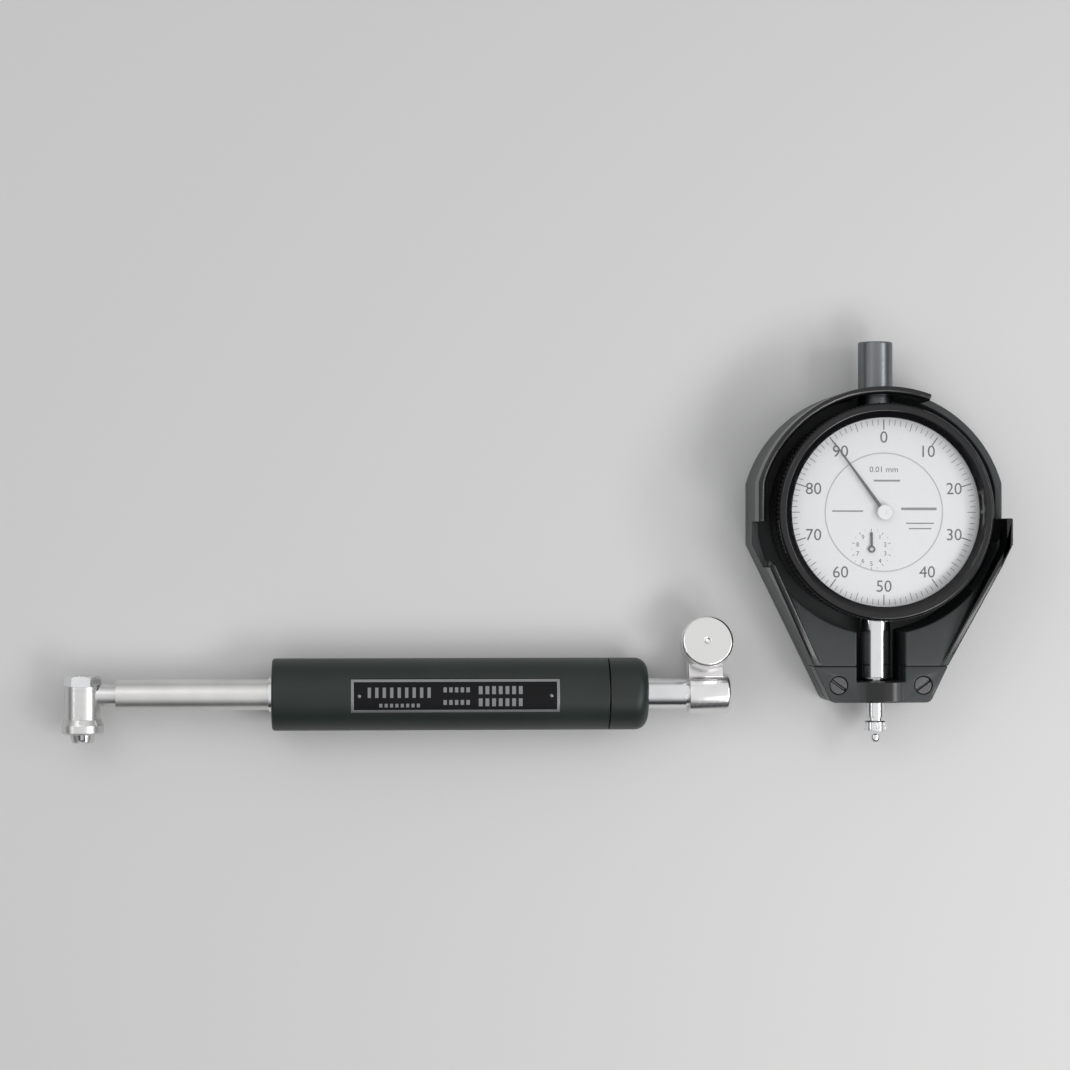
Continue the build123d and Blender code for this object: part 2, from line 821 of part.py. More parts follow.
def make_dial_case():
    shell = disc(case_r, -case_back, case_shoulder) + disc(case_neck_r, case_shoulder, case_front)
    shell -= disc(case_inside_r, -case_back - overrun, web_low)
    shell -= disc(case_inside_r, web_top, case_front + overrun)
    reach = case_r - case_wall / 2
    stem_boss = along_y(disc(stem_r + boss_wall, -reach, -reach + boss_depth))
    bush_boss = along_y(disc(top_bush_r + boss_wall, reach - boss_depth, reach))
    rail = block(
        (rail_start, rail_start + rail_width),
        (-arm_at - rail_spare - arm_r, spindle_travel - arm_at + rail_spare + arm_r),
        (-rail_depth, web_low),
    )
    post = Pos(spring_axis, -spring_post_at, 0) * disc(spring_post_r, -spring_post_depth, web_low)
    posts = [
        p * disc(cover_post_r, -case_back, web_low) for p in cover_screw_places()
    ]
    shell = shell + [stem_boss, bush_boss, rail, post, *posts]
    slot_half = arm_r + running_gap
    rail_slot = block(
        (rail_start - overrun, rail_start + rail_width + overrun),
        (-arm_at - slot_half, spindle_travel - arm_at + slot_half),
        (-slot_half, slot_half),
    )
    stem_bore = along_y(disc(stem_r + fit_gap, -case_r - overrun, -reach + boss_depth + overrun))
    bush_bore = along_y(disc(top_bush_r + fit_gap, reach - boss_depth - overrun, case_r + overrun))
    shaft_hole = Pos(*counter_axis) * disc(arbor_r + running_gap, web_low - overrun, web_top + overrun)
    centre_hole = disc(pivot_r + running_gap, web_low - overrun, web_top + overrun)
    hair_hole = Pos(*hair_axis) * centre_hole
    screw_holes = [
        p * disc(cover_screw_shank_r + fit_gap, -case_back - overrun, -case_back + cover_screw_length)
        for p in cover_screw_places()
    ]
    groove = bezel_wire_ring(running_gap)
    return shell - [
        rail_slot, stem_bore, bush_bore, shaft_hole, centre_hole, hair_hole, groove, *screw_holes
    ]


def make_back_cover():
    cover = disc(case_r - edge_break, -case_back - cover_thickness, -case_back)
    sink = turned(
        (0, -case_back - cover_thickness), (cover_screw_head_r, -case_back - cover_thickness),
        (cover_screw_shank_r + fit_gap, -case_back), (0, -case_back),
    )
    return cover - [p * sink for p in cover_screw_places()]


def make_back_screws():
    outer = -case_back - cover_thickness + seat_gap
    screw = turned(
        (0, outer), (cover_screw_head_r - seat_gap, outer),
        (cover_screw_shank_r, -case_back - seat_gap),
        (cover_screw_shank_r, -case_back + cover_screw_length - cover_thickness),
        (0, -case_back + cover_screw_length - cover_thickness),
    )
    return Compound(children=[p * screw for p in cover_screw_places()])


def make_dial_stem():
    inner_end = -case_r + case_wall / 2 + boss_depth
    tube = ring(stem_r, spindle_r + running_gap, -stem_end, inner_end)
    rim = [e for e in tube.edges().filter_by(GeomType.CIRCLE)
           if abs(e.center().Z + stem_end) < seat_gap and abs(e.radius - stem_r) < seat_gap]
    return along_y(chamfer(rim, stem_chamfer))


def make_top_bush():
    inner_end = case_r - case_wall / 2 - boss_depth
    return along_y(ring(top_bush_r, rack_rod_r + running_gap, inner_end, top_bush_end))


def make_spindle_cap():
    cap = disc(cap_r, cap_start, cap_end)
    cap = fillet(cap.edges().group_by(Axis.Z)[-1], cap_round)
    return along_y(cap - disc(top_bush_r + fit_gap, cap_start - overrun, cap_end - cap_wall))


# Spindle pieces

def make_spindle():
    bar = disc(spindle_r, -spindle_end, -spindle_shoulder)
    bar += disc(rack_rod_r, -spindle_shoulder, spindle_top)
    bar = along_y(bar - disc(point_screw_r + fit_gap, -spindle_end - overrun,
                             -spindle_end + point_screw_length))
    tips = -(rack_line + rack_module * tooth_rise_share)
    roots = -(rack_line - rack_module * tooth_fall_share)
    first = -counter_below - rack_pitch * (rack_teeth_below + 1 / 2)
    last = -counter_below + rack_pitch * (rack_teeth_above + 1 / 2)
    flat = block((-spindle_r - overrun, tips), (first, last), (-spindle_r, spindle_r))
    gap_at_tip = rack_pitch * (1 - tooth_tip_share)
    gap_at_root = rack_pitch * (1 - tooth_root_share)
    gap = make_face(
        Polyline(
            (tips - seat_gap, -gap_at_tip / 2), (roots, -gap_at_root / 2),
            (roots, gap_at_root / 2), (tips - seat_gap, gap_at_tip / 2), close=True,
        )
    )
    gaps = [
        Pos(0, -counter_below + n * rack_pitch, 0) * plate(gap, -spindle_r, spindle_r)
        for n in range(-rack_teeth_below, rack_teeth_above + 1)
    ]
    arm_hole = Pos(0, -arm_at, 0) * along_x(disc(arm_r + fit_gap, -arm_inset, rack_rod_r + overrun))
    return bar - [flat, arm_hole, *gaps]


def make_contact_point():
    knurl_low = -spindle_end - point_neck_length - point_knurl_length
    cone_low = knurl_low - point_cone_length
    body = turned(
        (0, -spindle_end), (point_neck_r, -spindle_end),
        (point_neck_r, -spindle_end - point_neck_length),
        (point_knurl_r - edge_break, -spindle_end - point_neck_length),
        (point_knurl_r, -spindle_end - point_neck_length - edge_break),
        (point_knurl_r, knurl_low), (point_tip_r, cone_low), (point_tip_r, -point_end + point_tip_r),
        (0, -point_end + point_tip_r),
    )
    ball = Pos(0, 0, -point_end + point_tip_r) * Sphere(point_tip_r)
    shank = disc(point_screw_r, -spindle_end, -spindle_end + point_screw_length - seat_gap)
    return along_y(body + ball + shank)


def make_guide_arm():
    return Pos(0, -arm_at, 0) * along_x(disc(arm_r, -arm_inset + seat_gap, arm_end))


def make_return_spring():
    return Pos(spring_axis, 0, 0) * along_y(
        coil(
            return_spring_r, return_spring_wire_r, -spring_post_at + spring_post_r + seat_gap,
            -arm_at - arm_r - seat_gap, return_spring_turns,
        )
    )


# Movement pieces

def make_rear_bridge():
    low = bridge_top - bridge_thickness
    left = -bridge_post_from_axis
    posts = [
        Pos(left, -counter_below + side * bridge_post_spread, 0) * disc(bridge_post_r, low, web_low)
        for side in (-1, 1)
    ]
    half = bridge_post_r
    bar = block(
        (left - half, left + half),
        (-counter_below - bridge_post_spread, -counter_below + bridge_post_spread),
        (low, bridge_top),
    )
    tongue = block(
        (left, -counter_left), (-counter_below - half, -counter_below + half), (low, bridge_top)
    )
    end = Pos(*counter_axis) * disc(half, low, bridge_top)
    pivot_hole = Pos(*counter_axis) * disc(pivot_r + running_gap, low - overrun, bridge_top + overrun)
    return (bar + [tongue, end, *posts]) - pivot_hole


def make_top_plate():
    body = disc(top_plate_r, top_plate_low, top_plate_top)
    shaft = disc(arbor_r + running_gap, top_plate_low - overrun, top_plate_top + overrun)
    pivot = disc(pivot_r + running_gap, top_plate_low - overrun, top_plate_top + overrun)
    screw = disc(plate_screw_r + fit_gap, top_plate_low - overrun, top_plate_top + overrun)
    holes = [Pos(*counter_axis) * shaft, shaft, Pos(*hair_axis) * pivot]
    return body - [*holes, *[p * screw for p in round_places(pillar_from_centre, pillar_angles)]]


def make_plate_pillars():
    pillar = disc(pillar_r, web_top, top_plate_low)
    pillar -= disc(
        plate_screw_r + fit_gap, top_plate_low - plate_screw_length - seat_gap, top_plate_low + overrun
    )
    return Compound(children=[p * pillar for p in round_places(pillar_from_centre, pillar_angles)])


def make_plate_screws():
    screw = disc(plate_screw_r, top_plate_low - plate_screw_length, top_plate_top)
    screw += disc(plate_screw_head_r, top_plate_top, top_plate_top + plate_screw_head)
    return Compound(children=[p * screw for p in round_places(pillar_from_centre, pillar_angles)])


def make_wheel(turn):
    """A 100-tooth wheel with its rim crossed out to four spokes, lying from height zero."""
    outline = toothed(wheel_teeth, wheel_module, tooth_root_share, tooth_tip_share, turn)
    rim_r = wheel_module * wheel_teeth / 2 - wheel_rim
    window = Circle(rim_r) - Circle(wheel_hub_r + wheel_rim)
    window -= Rectangle(2 * rim_r, wheel_spoke) + Rectangle(wheel_spoke, 2 * rim_r)
    outline -= window
    outline -= Circle(arbor_r + fit_gap)
    return plate(outline, 0, wheel_thickness)


def make_rack_pinion():
    pinion = plate(
        toothed(pinion_teeth, rack_module, leaf_root_share, leaf_tip_share, 0),
        -pinion_half_width, pinion_half_width,
    )
    shaft = disc(arbor_r, bridge_top + seat_gap, counter_hand_low + counter_hand_thickness)
    pivot = disc(pivot_r, bridge_top - pivot_length, bridge_top + seat_gap)
    return Pos(*counter_axis) * (pinion + shaft + pivot)


def make_counter_wheel():
    return Pos(*counter_axis, counter_wheel_low) * make_wheel(counter_angle)


def make_counter_hand():
    hand = Pos(0, counter_hand_length / 2) * Rectangle(counter_hand_width, counter_hand_length)
    hand += Circle(counter_hand_hub_r)
    hand -= Circle(arbor_r + fit_gap)
    low = counter_hand_low
    return Pos(*counter_axis) * plate(hand, low, low + counter_hand_thickness)


def make_centre_pinion():
    half_tooth = 180 / centre_teeth
    leaves = plate(
        toothed(
            centre_teeth, wheel_module, leaf_root_share, leaf_tip_share,
            counter_angle + 180 + half_tooth,
        ),
        web_top + wheel_gap / 2, centre_pinion_top,
    )
    shaft = disc(arbor_r, web_top + seat_gap, pointer_low + hub_height / 2)
    pivot = disc(pivot_r, web_top - pivot_length, web_top + seat_gap)
    return leaves + shaft + pivot


def make_pointer():
    root, tip = pointer_root_width / 2, pointer_tip_width / 2
    blade = make_face(
        Polyline((-root, 0), (root, 0), (tip, pointer_length), (-tip, pointer_length), close=True)
    )
    blade += Circle(hub_r - edge_break)
    blade -= Circle(arbor_r + fit_gap)
    return Rot(0, 0, pointer_turn) * plate(blade, pointer_low, pointer_low + pointer_thickness)


def make_pointer_hub():
    low = pointer_low + pointer_thickness
    high = pointer_low + hub_height
    cup = turned((0, low), (hub_r, low), (hub_r, high - edge_break / 2),
                 (hub_r - edge_break / 2, high), (0, high))
    return cup - disc(arbor_r + fit_gap, low - overrun, pointer_low + hub_height / 2 + seat_gap)


def make_hair_wheel():
    leaf_angle = counter_angle + 180 + 180 / centre_teeth
    pinion_step, wheel_step = 360 / centre_teeth, 360 / wheel_teeth
    # The gap of the pinion that faces this wheel, and so the angle of the tooth that fills it
    off = (hair_gear_angle - leaf_angle - pinion_step / 2) % pinion_step
    turn = hair_gear_angle + 180 + off * wheel_step / pinion_step
    wheel = Pos(0, 0, hair_wheel_low) * make_wheel(turn)
    shaft = disc(arbor_r, web_top + seat_gap, top_plate_low - seat_gap)
    pivots = disc(pivot_r, web_top - pivot_length, top_plate_low + pivot_length)
    boss = disc(wheel_hub_r, hair_wheel_low, hair_wheel_low + wheel_thickness)
    return Pos(*hair_axis) * (wheel + shaft + pivots + boss)


def make_hairspring():
    total = hairspring_turns * hairspring_steps
    inner, outer = [], []
    for n in range(total + 1):
        angle = 2 * math.pi * n / hairspring_steps
        middle = hairspring_inner_r + (hairspring_outer_r - hairspring_inner_r) * n / total
        for radius, side in (
            (middle - hairspring_strip / 2, inner), (middle + hairspring_strip / 2, outer)
        ):
            side.append((radius * math.cos(angle), radius * math.sin(angle)))
    strip = make_face(Polyline(*inner, *reversed(outer), close=True))
    stud_at = Pos(hairspring_outer_r + spring_post_r, 0, 0)
    coil_strip = plate(strip, hairspring_low, hairspring_low + hairspring_height)
    stud = stud_at * disc(spring_post_r, hairspring_low, top_plate_low)
    return Pos(*hair_axis) * (coil_strip + stud)


# Face, bezel and crystal

def make_centre_disc():
    face = disc(centre_disc_r, face_low, face_top)
    shaft = disc(arbor_r + free_gap, face_low - overrun, face_top + overrun)
    feet = [
        p * disc(face_foot_r, top_plate_top, face_low)
        for p in round_places(face_foot_from_centre, face_foot_angles)
    ]
    return (face + feet) - [shaft, Pos(*counter_axis) * shaft]


def make_scale_ring():
    return ring(scale_outer_r, scale_inner_r, face_low, face_top)


def make_bezel():
    skirt_r = case_neck_r + running_gap
    body = turned(
        (skirt_r, bezel_low), (bezel_r, bezel_low), (bezel_r, bezel_top - bezel_rim_break),
        (bezel_r - bezel_rim_break, bezel_top), (bezel_rim_r, bezel_top),
        (bezel_opening_r, bezel_lip_low + bezel_lip_edge), (bezel_opening_r, bezel_lip_low),
        (bezel_inside_r, bezel_lip_low), (bezel_inside_r, face_low), (bezel_ledge_r, face_low),
        (bezel_ledge_r, bezel_ledge_low), (case_neck_r - bezel_step_gap, case_front + bezel_step_gap),
        (skirt_r, case_front + bezel_step_gap),
    )
    groove = bezel_wire_ring(running_gap)
    return body - groove


def make_bezel_wire():
    return bezel_wire_ring(0)


def make_crystal():
    return disc(bezel_inside_r - fit_gap, crystal_top - crystal_thickness, crystal_top)


# Guard pieces

def guard_outline(inset):
    """The guard's outline, drawn in by a wall's thickness: an arc, straight sides and a taper."""
    half = guard_half_width - inset
    arc_r = guard_arc_r - inset
    shoulder = guard_arc_centre + math.sqrt(arc_r**2 - half**2)
    slope = math.atan2(
        guard_half_width - guard_neck_half_width, guard_taper_from - guard_neck_end
    )
    drop = inset * math.tan(slope / 2)
    neck = guard_neck_half_width - inset / math.cos(slope)
    top = Line((half, guard_taper_from - drop), (half, shoulder))
    arc = ThreePointArc(
        (half, shoulder), (0, guard_arc_centre + arc_r), (-half, shoulder)
    )
    rest = Polyline(
        (-half, shoulder), (-half, guard_taper_from - drop), (-neck, guard_neck_end),
        (neck, guard_neck_end), (half, guard_taper_from - drop),
    )
    return make_face([top, arc, rest])


def guard_strip(low, high):
    """A wide flat outline between two places along the guard, to keep or to cut."""
    return Pos(0, (low + high) / 2) * Rectangle(2 * guard_half_width + overrun, high - low)


def make_guard_shell():
    back = -spindle_height
    floor_top = back + guard_floor
    body = plate(guard_outline(0), back, guard_rim)
    corners = [
        e for e in body.edges().filter_by(Axis.Z) if e.center().Y < guard_neck_end + edge_break
    ]
    body = fillet(corners, guard_corner_round)
    inside = guard_outline(guard_wall)
    opening = inside & Circle(guard_opening_r)
    over_plate = plate(inside, guard_plate_top, guard_rim + overrun)
    well = plate(opening, floor_top, guard_rim + overrun)
    half_slot = guard_slot / 2
    slot = block(
        (-half_slot, half_slot), (guard_slot_end, -guard_opening_r + guard_wall),
        (floor_top, guard_rim + overrun),
    )
    ramp = make_face(
        Plane.YZ
        * Polyline(
            (guard_slope_from, guard_rim), (guard_bar_from, guard_plate_top),
            (guard_bar_from - overrun, guard_plate_top), (guard_bar_from - overrun, guard_rim + overrun),
            (guard_slope_from, guard_rim + overrun), close=True,
        )
    )
    ramp = extrude(ramp, amount=2 * guard_half_width, both=True)
    bar_seat = plate(
        guard_strip(guard_neck_end - overrun, guard_bar_from), -guard_bar_gap, guard_rim + overrun
    )
    channel = along_y(
        disc(tube_r + guard_tube_gap, guard_neck_end - overrun, guard_slot_end + overrun)
    )
    pocket = inside & guard_strip(guard_bar_from + guard_wall, 0)
    pocket -= Circle(guard_opening_r + guard_wall)
    pocket -= Rectangle(2 * (half_slot + guard_wall), -2 * guard_neck_end)
    hollows = plate(pocket, back - overrun, guard_plate_top - guard_wall)
    left_cut = block(
        (-guard_half_width - overrun, -guard_half_width + 2 * guard_wall),
        (guard_slope_from, guard_left_cut_top), (guard_cut_low, guard_rim + overrun),
    )
    far = 2 * guard_arc_r
    angle = math.radians(guard_right_cut_angle)
    wedge = make_face(
        Polyline(
            (0, guard_right_cut_low), (far, guard_right_cut_low), (far, far * math.sin(angle)),
            (far * math.cos(angle), far * math.sin(angle)), close=True,
        )
    )
    right_cut = plate(wedge, guard_cut_low, guard_rim + overrun)
    cap_window_r = cap_r + guard_cap_gap
    cap_hole = along_y(disc(cap_window_r, cap_start, guard_arc_r))
    cap_hole += block((-cap_window_r, cap_window_r), (cap_start, guard_arc_r), (floor_top, 0))
    holes = [
        Pos(side * guard_screw_from_axis, guard_screw_at, 0)
        * disc(guard_screw_shank_r + fit_gap, guard_plate_top - guard_screw_head - guard_screw_length
               - seat_gap, 0)
        for side in (-1, 1)
    ]
    return body - [
        over_plate, well, slot, ramp, bar_seat, channel, hollows, left_cut, right_cut, cap_hole, *holes
    ]


def make_guard_bar():
    neck = guard_outline(0) & guard_strip(guard_neck_end, guard_bar_from - seat_gap)
    bar = plate(neck, guard_bar_gap, guard_plate_top)
    corners = [
        e for e in bar.edges().filter_by(Axis.Z) if e.center().Y < guard_neck_end + edge_break
    ]
    bar = fillet(corners, guard_corner_round)
    crown_centre = guard_plate_top + guard_bridge_rise - guard_bridge_r
    crown = Pos(0, 0, crown_centre) * along_y(disc(guard_bridge_r, guard_neck_end, guard_slot_end))
    crown &= plate(guard_strip(guard_neck_end, guard_slot_end), guard_bar_gap, guard_rim)
    bar += crown
    half_slot = guard_slot / 2
    slot = block(
        (-half_slot, half_slot), (guard_slot_end, guard_bar_from), (0, guard_rim)
    )
    channel = along_y(
        disc(tube_r + guard_tube_gap, guard_neck_end - overrun, guard_slot_end + overrun)
    )
    sink_low = guard_plate_top - guard_screw_head
    hole = disc(guard_screw_shank_r + guard_screw_hole_gap, 0, guard_plate_top)
    hole += disc(guard_screw_head_r + guard_screw_hole_gap, sink_low, guard_rim)
    holes = [Pos(side * guard_screw_from_axis, guard_screw_at, 0) * hole for side in (-1, 1)]
    return bar - [slot, channel, *holes]


def make_guard_screws():
    low = guard_plate_top - guard_screw_head
    top = guard_plate_top - edge_break
    screw = disc(guard_screw_shank_r, low - guard_screw_length, low)
    screw += disc(guard_screw_head_r, low, top)
    screw -= Pos(0, 0, top) * Box(
        2 * guard_screw_head_r + overrun, guard_screw_slot, 2 * guard_screw_slot_depth
    )
    return Compound(
        children=[
            Pos(side * guard_screw_from_axis, guard_screw_at, 0) * Rot(0, 0, side * guard_screw_turn) * screw
            for side in (-1, 1)
        ]
    )


stem_pieces = {
    "head_body": make_head_body(),
    "anvil_seat": make_anvil_seat(),
    "anvil_nut": make_anvil_nut(),
    "guide": make_guide(),
    "guide_pins": make_guide_pins(),
    "guide_spring": make_guide_spring(),
    "plunger": make_plunger(),
    "contact_tip": make_contact_tip(),
    "plunger_bush": make_plunger_bush(),
    "bell_crank": make_bell_crank(),
    "crank_pin": make_crank_pin(),
    "stem_tube": make_stem_tube(),
    "tube_collar": make_tube_collar(),
    "push_rod": make_push_rod(),
    "rod_button": make_rod_button(),
    "rod_collar": make_rod_collar(),
    "rod_spring": make_rod_spring(),
    "front_rod_bush": make_rod_bush(front_bush_at),
    "rear_rod_bush": make_rod_bush(rear_bush_at),
    "grip_core": make_grip_core(),
    "grip_sleeve": make_grip_sleeve(),
    "grip_end": make_grip_end(),
    "nameplate": make_nameplate(),
    "rear_tube": make_rear_tube(),
    "dial_clamp": make_dial_clamp(),
    "clamp_washer": make_clamp_washer(),
    "clamp_screw": make_clamp_screw(),
}

dial_pieces = {
    "dial_case": make_dial_case(),
    "back_cover": make_back_cover(),
    "back_screws": make_back_screws(),
    "dial_stem": make_dial_stem(),
    "top_bush": make_top_bush(),
    "spindle_cap": make_spindle_cap(),
    "spindle": make_spindle(),
    "contact_point": make_contact_point(),
    "guide_arm": make_guide_arm(),
    "return_spring": make_return_spring(),
    "rear_bridge": make_rear_bridge(),
    "top_plate": make_top_plate(),
    "plate_pillars": make_plate_pillars(),
    "plate_screws": make_plate_screws(),
    "rack_pinion": make_rack_pinion(),
    "counter_wheel": make_counter_wheel(),
    "counter_hand": make_counter_hand(),
    "centre_pinion": make_centre_pinion(),
    "pointer": make_pointer(),
    "pointer_hub": make_pointer_hub(),
    "hair_wheel": make_hair_wheel(),
    "hairspring": make_hairspring(),
    "centre_disc": make_centre_disc(),
    "scale_ring": make_scale_ring(),
    "bezel": make_bezel(),
    "bezel_wire": make_bezel_wire(),
    "crystal": make_crystal(),
    "guard_shell": make_guard_shell(),
    "guard_bar": make_guard_bar(),
    "guard_screws": make_guard_screws(),
}

os.makedirs("parts", exist_ok=True)
for name, piece in stem_pieces.items():
    export_step(stem_place * piece, f"parts/{name}.step")
for name, piece in dial_pieces.items():
    export_step(dial_place * piece, f"parts/{name}.step")
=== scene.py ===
# %% [markdown]
# # A dial bore gauge, taken apart on a pale table
#
# The gauge lies in two units. The measuring stem has a small head across its left end, a plastic
# grip with a nameplate, and a split clamp with a thumb screw at its right end. The dial indicator
# lies beside it in a black moulded guard. The solid model already holds every piece at its real
# size and place, so this lesson gives the pieces their finishes, and adds what a solid model
# leaves out: the printed scale, the nameplate's border and marks, the knurls and the soft edges.
#
# The model is loaded first. Its units are metres, so a named millimetre keeps the sizes readable.

# %% The solid model
import json
import math

import bpy
from mathutils import Matrix, Vector


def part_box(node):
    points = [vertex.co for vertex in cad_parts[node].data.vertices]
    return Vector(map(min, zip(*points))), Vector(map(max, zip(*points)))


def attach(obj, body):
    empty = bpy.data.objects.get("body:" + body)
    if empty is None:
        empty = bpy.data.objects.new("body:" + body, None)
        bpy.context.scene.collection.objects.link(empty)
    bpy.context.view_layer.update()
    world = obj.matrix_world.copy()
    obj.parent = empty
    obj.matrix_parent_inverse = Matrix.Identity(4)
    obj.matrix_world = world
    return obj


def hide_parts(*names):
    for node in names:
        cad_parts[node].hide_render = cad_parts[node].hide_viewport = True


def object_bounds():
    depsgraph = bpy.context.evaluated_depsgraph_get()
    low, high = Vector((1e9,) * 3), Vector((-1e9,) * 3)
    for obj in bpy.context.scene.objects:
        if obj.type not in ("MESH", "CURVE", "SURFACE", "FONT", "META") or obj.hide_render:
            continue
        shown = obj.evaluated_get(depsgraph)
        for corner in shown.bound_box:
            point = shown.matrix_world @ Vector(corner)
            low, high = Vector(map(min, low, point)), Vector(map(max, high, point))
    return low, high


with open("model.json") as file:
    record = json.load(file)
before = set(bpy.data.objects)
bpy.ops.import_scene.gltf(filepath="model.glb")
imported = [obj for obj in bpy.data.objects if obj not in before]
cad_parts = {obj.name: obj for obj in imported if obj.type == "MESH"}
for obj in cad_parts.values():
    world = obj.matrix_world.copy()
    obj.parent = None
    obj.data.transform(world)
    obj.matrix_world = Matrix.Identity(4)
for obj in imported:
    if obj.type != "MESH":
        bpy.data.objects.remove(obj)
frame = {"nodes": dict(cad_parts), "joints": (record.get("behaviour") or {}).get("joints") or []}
cad_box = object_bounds()
nodes = frame["nodes"]
mm = 0.001
cad_size = [round(v / mm, 1) for v in cad_box[1] - cad_box[0]]
print("solid model:", len(nodes), "pieces,", cad_size, "mm")


# %% [markdown]
# Places are read from the model's own boxes, so that nothing has to be fitted by eye. The middle
# of the bezel is the dial's centre, the middle of the stem tube is the stem's axis, and the top
# of the scale ring is the height on which the print lies.

# %% Places that the print and the trim follow
def middle(node):
    """The middle of a piece's box."""
    low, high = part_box(node)
    return (low + high) / 2


dial = middle("bezel")
stem = middle("stem_tube")
face_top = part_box("scale_ring")[1].z
counter = middle("counter_wheel")
print("dial centre", [round(v / mm, 2) for v in dial], "stem axis", round(stem.y / mm, 2))


# %% [markdown]
# ## The view
#
# The photograph looks down on the gauge from about three quarters of a metre, a little to the
# left of its middle and a little nearer than the dial. The camera stands at that point and looks
# at the middle of the gauge, with a lens that frames both units closely. A camera could be aimed
# with a constraint, but a rotation worked out from three axes keeps the stem level in the frame.

# %% Camera
camera_place = Vector((-43.0, -0.4, 734.5)) * mm
camera_target = Vector((0.0, 2.0, 9.5)) * mm
camera_lens = 92.0

camera_data = bpy.data.cameras.new("camera")
camera = bpy.data.objects.new("camera", camera_data)
bpy.context.scene.collection.objects.link(camera)
bpy.context.scene.camera = camera
forward = (camera_target - camera_place).normalized()
right = forward.cross(Vector((0, 1, 0))).normalized()
upward = right.cross(forward)
aim = Matrix((right, upward, -forward)).transposed()
camera.matrix_world = Matrix.Translation(camera_place) @ aim.to_4x4()
camera_data.lens = camera_lens
camera_data.clip_start = 10 * mm
camera_data.clip_end = 20.0
print("camera", round((camera_target - camera_place).length / mm), "mm from the gauge")


# %% [markdown]
# ## The light
#
# The gauge is mostly polished metal and black plastic, and both show what surrounds them more
# than their own colour. Plain even light would leave them flat. The world is therefore bright
# overhead and on the far side, and dark towards the near horizon. A round bar then has a broad
# pale upper side, and a dark line below its middle. Three small bright lamps on the right and
# near side draw the thin line along the guard's inner edge and the highlight on the bezel's lip.
# A soft panel at the far left and a strip low at the left lighten the shadows. None stands where
# the flat crystal would mirror it into the camera, because that would veil the face.

# %% World
brightest_side = (0.0, 0.32, 0.95)
dark_from, dark_grey = 0.12, (0.05, 0.052, 0.055, 1)
bright_from, bright_grey = 0.78, (0.84, 0.845, 0.85, 1)

world = bpy.data.worlds.new("studio")
bpy.context.scene.world = world
world.use_nodes = True
sky = world.node_tree
sky.nodes.clear()
world_out = sky.nodes.new("ShaderNodeOutputWorld")
world_light = sky.nodes.new("ShaderNodeBackground")
world_place = sky.nodes.new("ShaderNodeTexCoord")
world_height = sky.nodes.new("ShaderNodeVectorMath")
world_height.operation = "DOT_PRODUCT"
world_height.inputs[1].default_value = brightest_side
world_ramp = sky.nodes.new("ShaderNodeValToRGB")
sky.links.new(world_place.outputs["Generated"], world_height.inputs[0])
sky.links.new(world_height.outputs["Value"], world_ramp.inputs["Fac"])
sky.links.new(world_ramp.outputs["Color"], world_light.inputs["Color"])
sky.links.new(world_light.outputs[0], world_out.inputs["Surface"])
horizon, overhead = world_ramp.color_ramp.elements
horizon.position, horizon.color = dark_from, dark_grey
overhead.position, overhead.color = bright_from, bright_grey
world_light.inputs["Strength"].default_value = 1.0
print("world: grey", dark_grey[0], "at the near horizon,", bright_grey[0], "overhead")

# %% [markdown]
# Each lamp is a rectangle of light that faces the middle of the scene. An area lamp suits a
# studio, because its shadows are soft and polished metal mirrors it as a panel with clean edges.

# %% Lamps
panels = {  # place and size in millimetres, and power in watts
    "far_left_panel": ((-330, 260, 560), (300, 300), 0.35),
    "near_right_panel": ((320, -210, 430), (170, 170), 0.65),
    "near_panel": ((200, -330, 430), (120, 120), 0.28),
    "right_strip": ((420, 20, 330), (80, 300), 0.42),
    "low_left_strip": ((-520, -10, 320), (50, 260), 0.12),
}
for name, (place, size, watts) in panels.items():
    data = bpy.data.lights.new(name, "AREA")
    data.shape = "RECTANGLE"
    data.size, data.size_y = size[0] * mm, size[1] * mm
    data.energy = watts
    lamp = bpy.data.objects.new(name, data)
    bpy.context.scene.collection.objects.link(lamp)
    backward = Vector(place).normalized()
    sideways = Vector((0, 1, 0)).cross(backward).normalized()
    turn = Matrix((sideways, backward.cross(sideways), backward)).transposed()
    lamp.matrix_world = Matrix.Translation(Vector(place) * mm) @ turn.to_4x4()
bpy.context.scene.view_settings.view_transform = "Standard"
print("lamps:", ", ".join(panels))


# %% [markdown]
# ## Finishes
#
# Every finish is a Principled shader with a little structure of its own. A few small helpers keep
# that short. One makes the shader, and one gives a noise that is stretched along chosen
# directions. Two run that noise into a number or a colour of the shader, and one turns it into
# fine relief. Object coordinates keep each pattern fixed to its piece. A value that is the same
# all over is set on the shader itself.

# %% Helpers for finishes
noise_low, noise_high = 0.3, 0.7


def new_finish(name, colour, metallic, roughness):
    """A material, its Principled shader, and its node tree."""
    material = bpy.data.materials.new(name)
    material.use_nodes = True
    tree = material.node_tree
    shader = tree.nodes["Principled BSDF"]
    shader.inputs["Base Color"].default_value = (*colour, 1)
    shader.inputs["Metallic"].default_value = metallic
    shader.inputs["Roughness"].default_value = roughness
    material.diffuse_color = (*colour, 1)
    return material, shader, tree


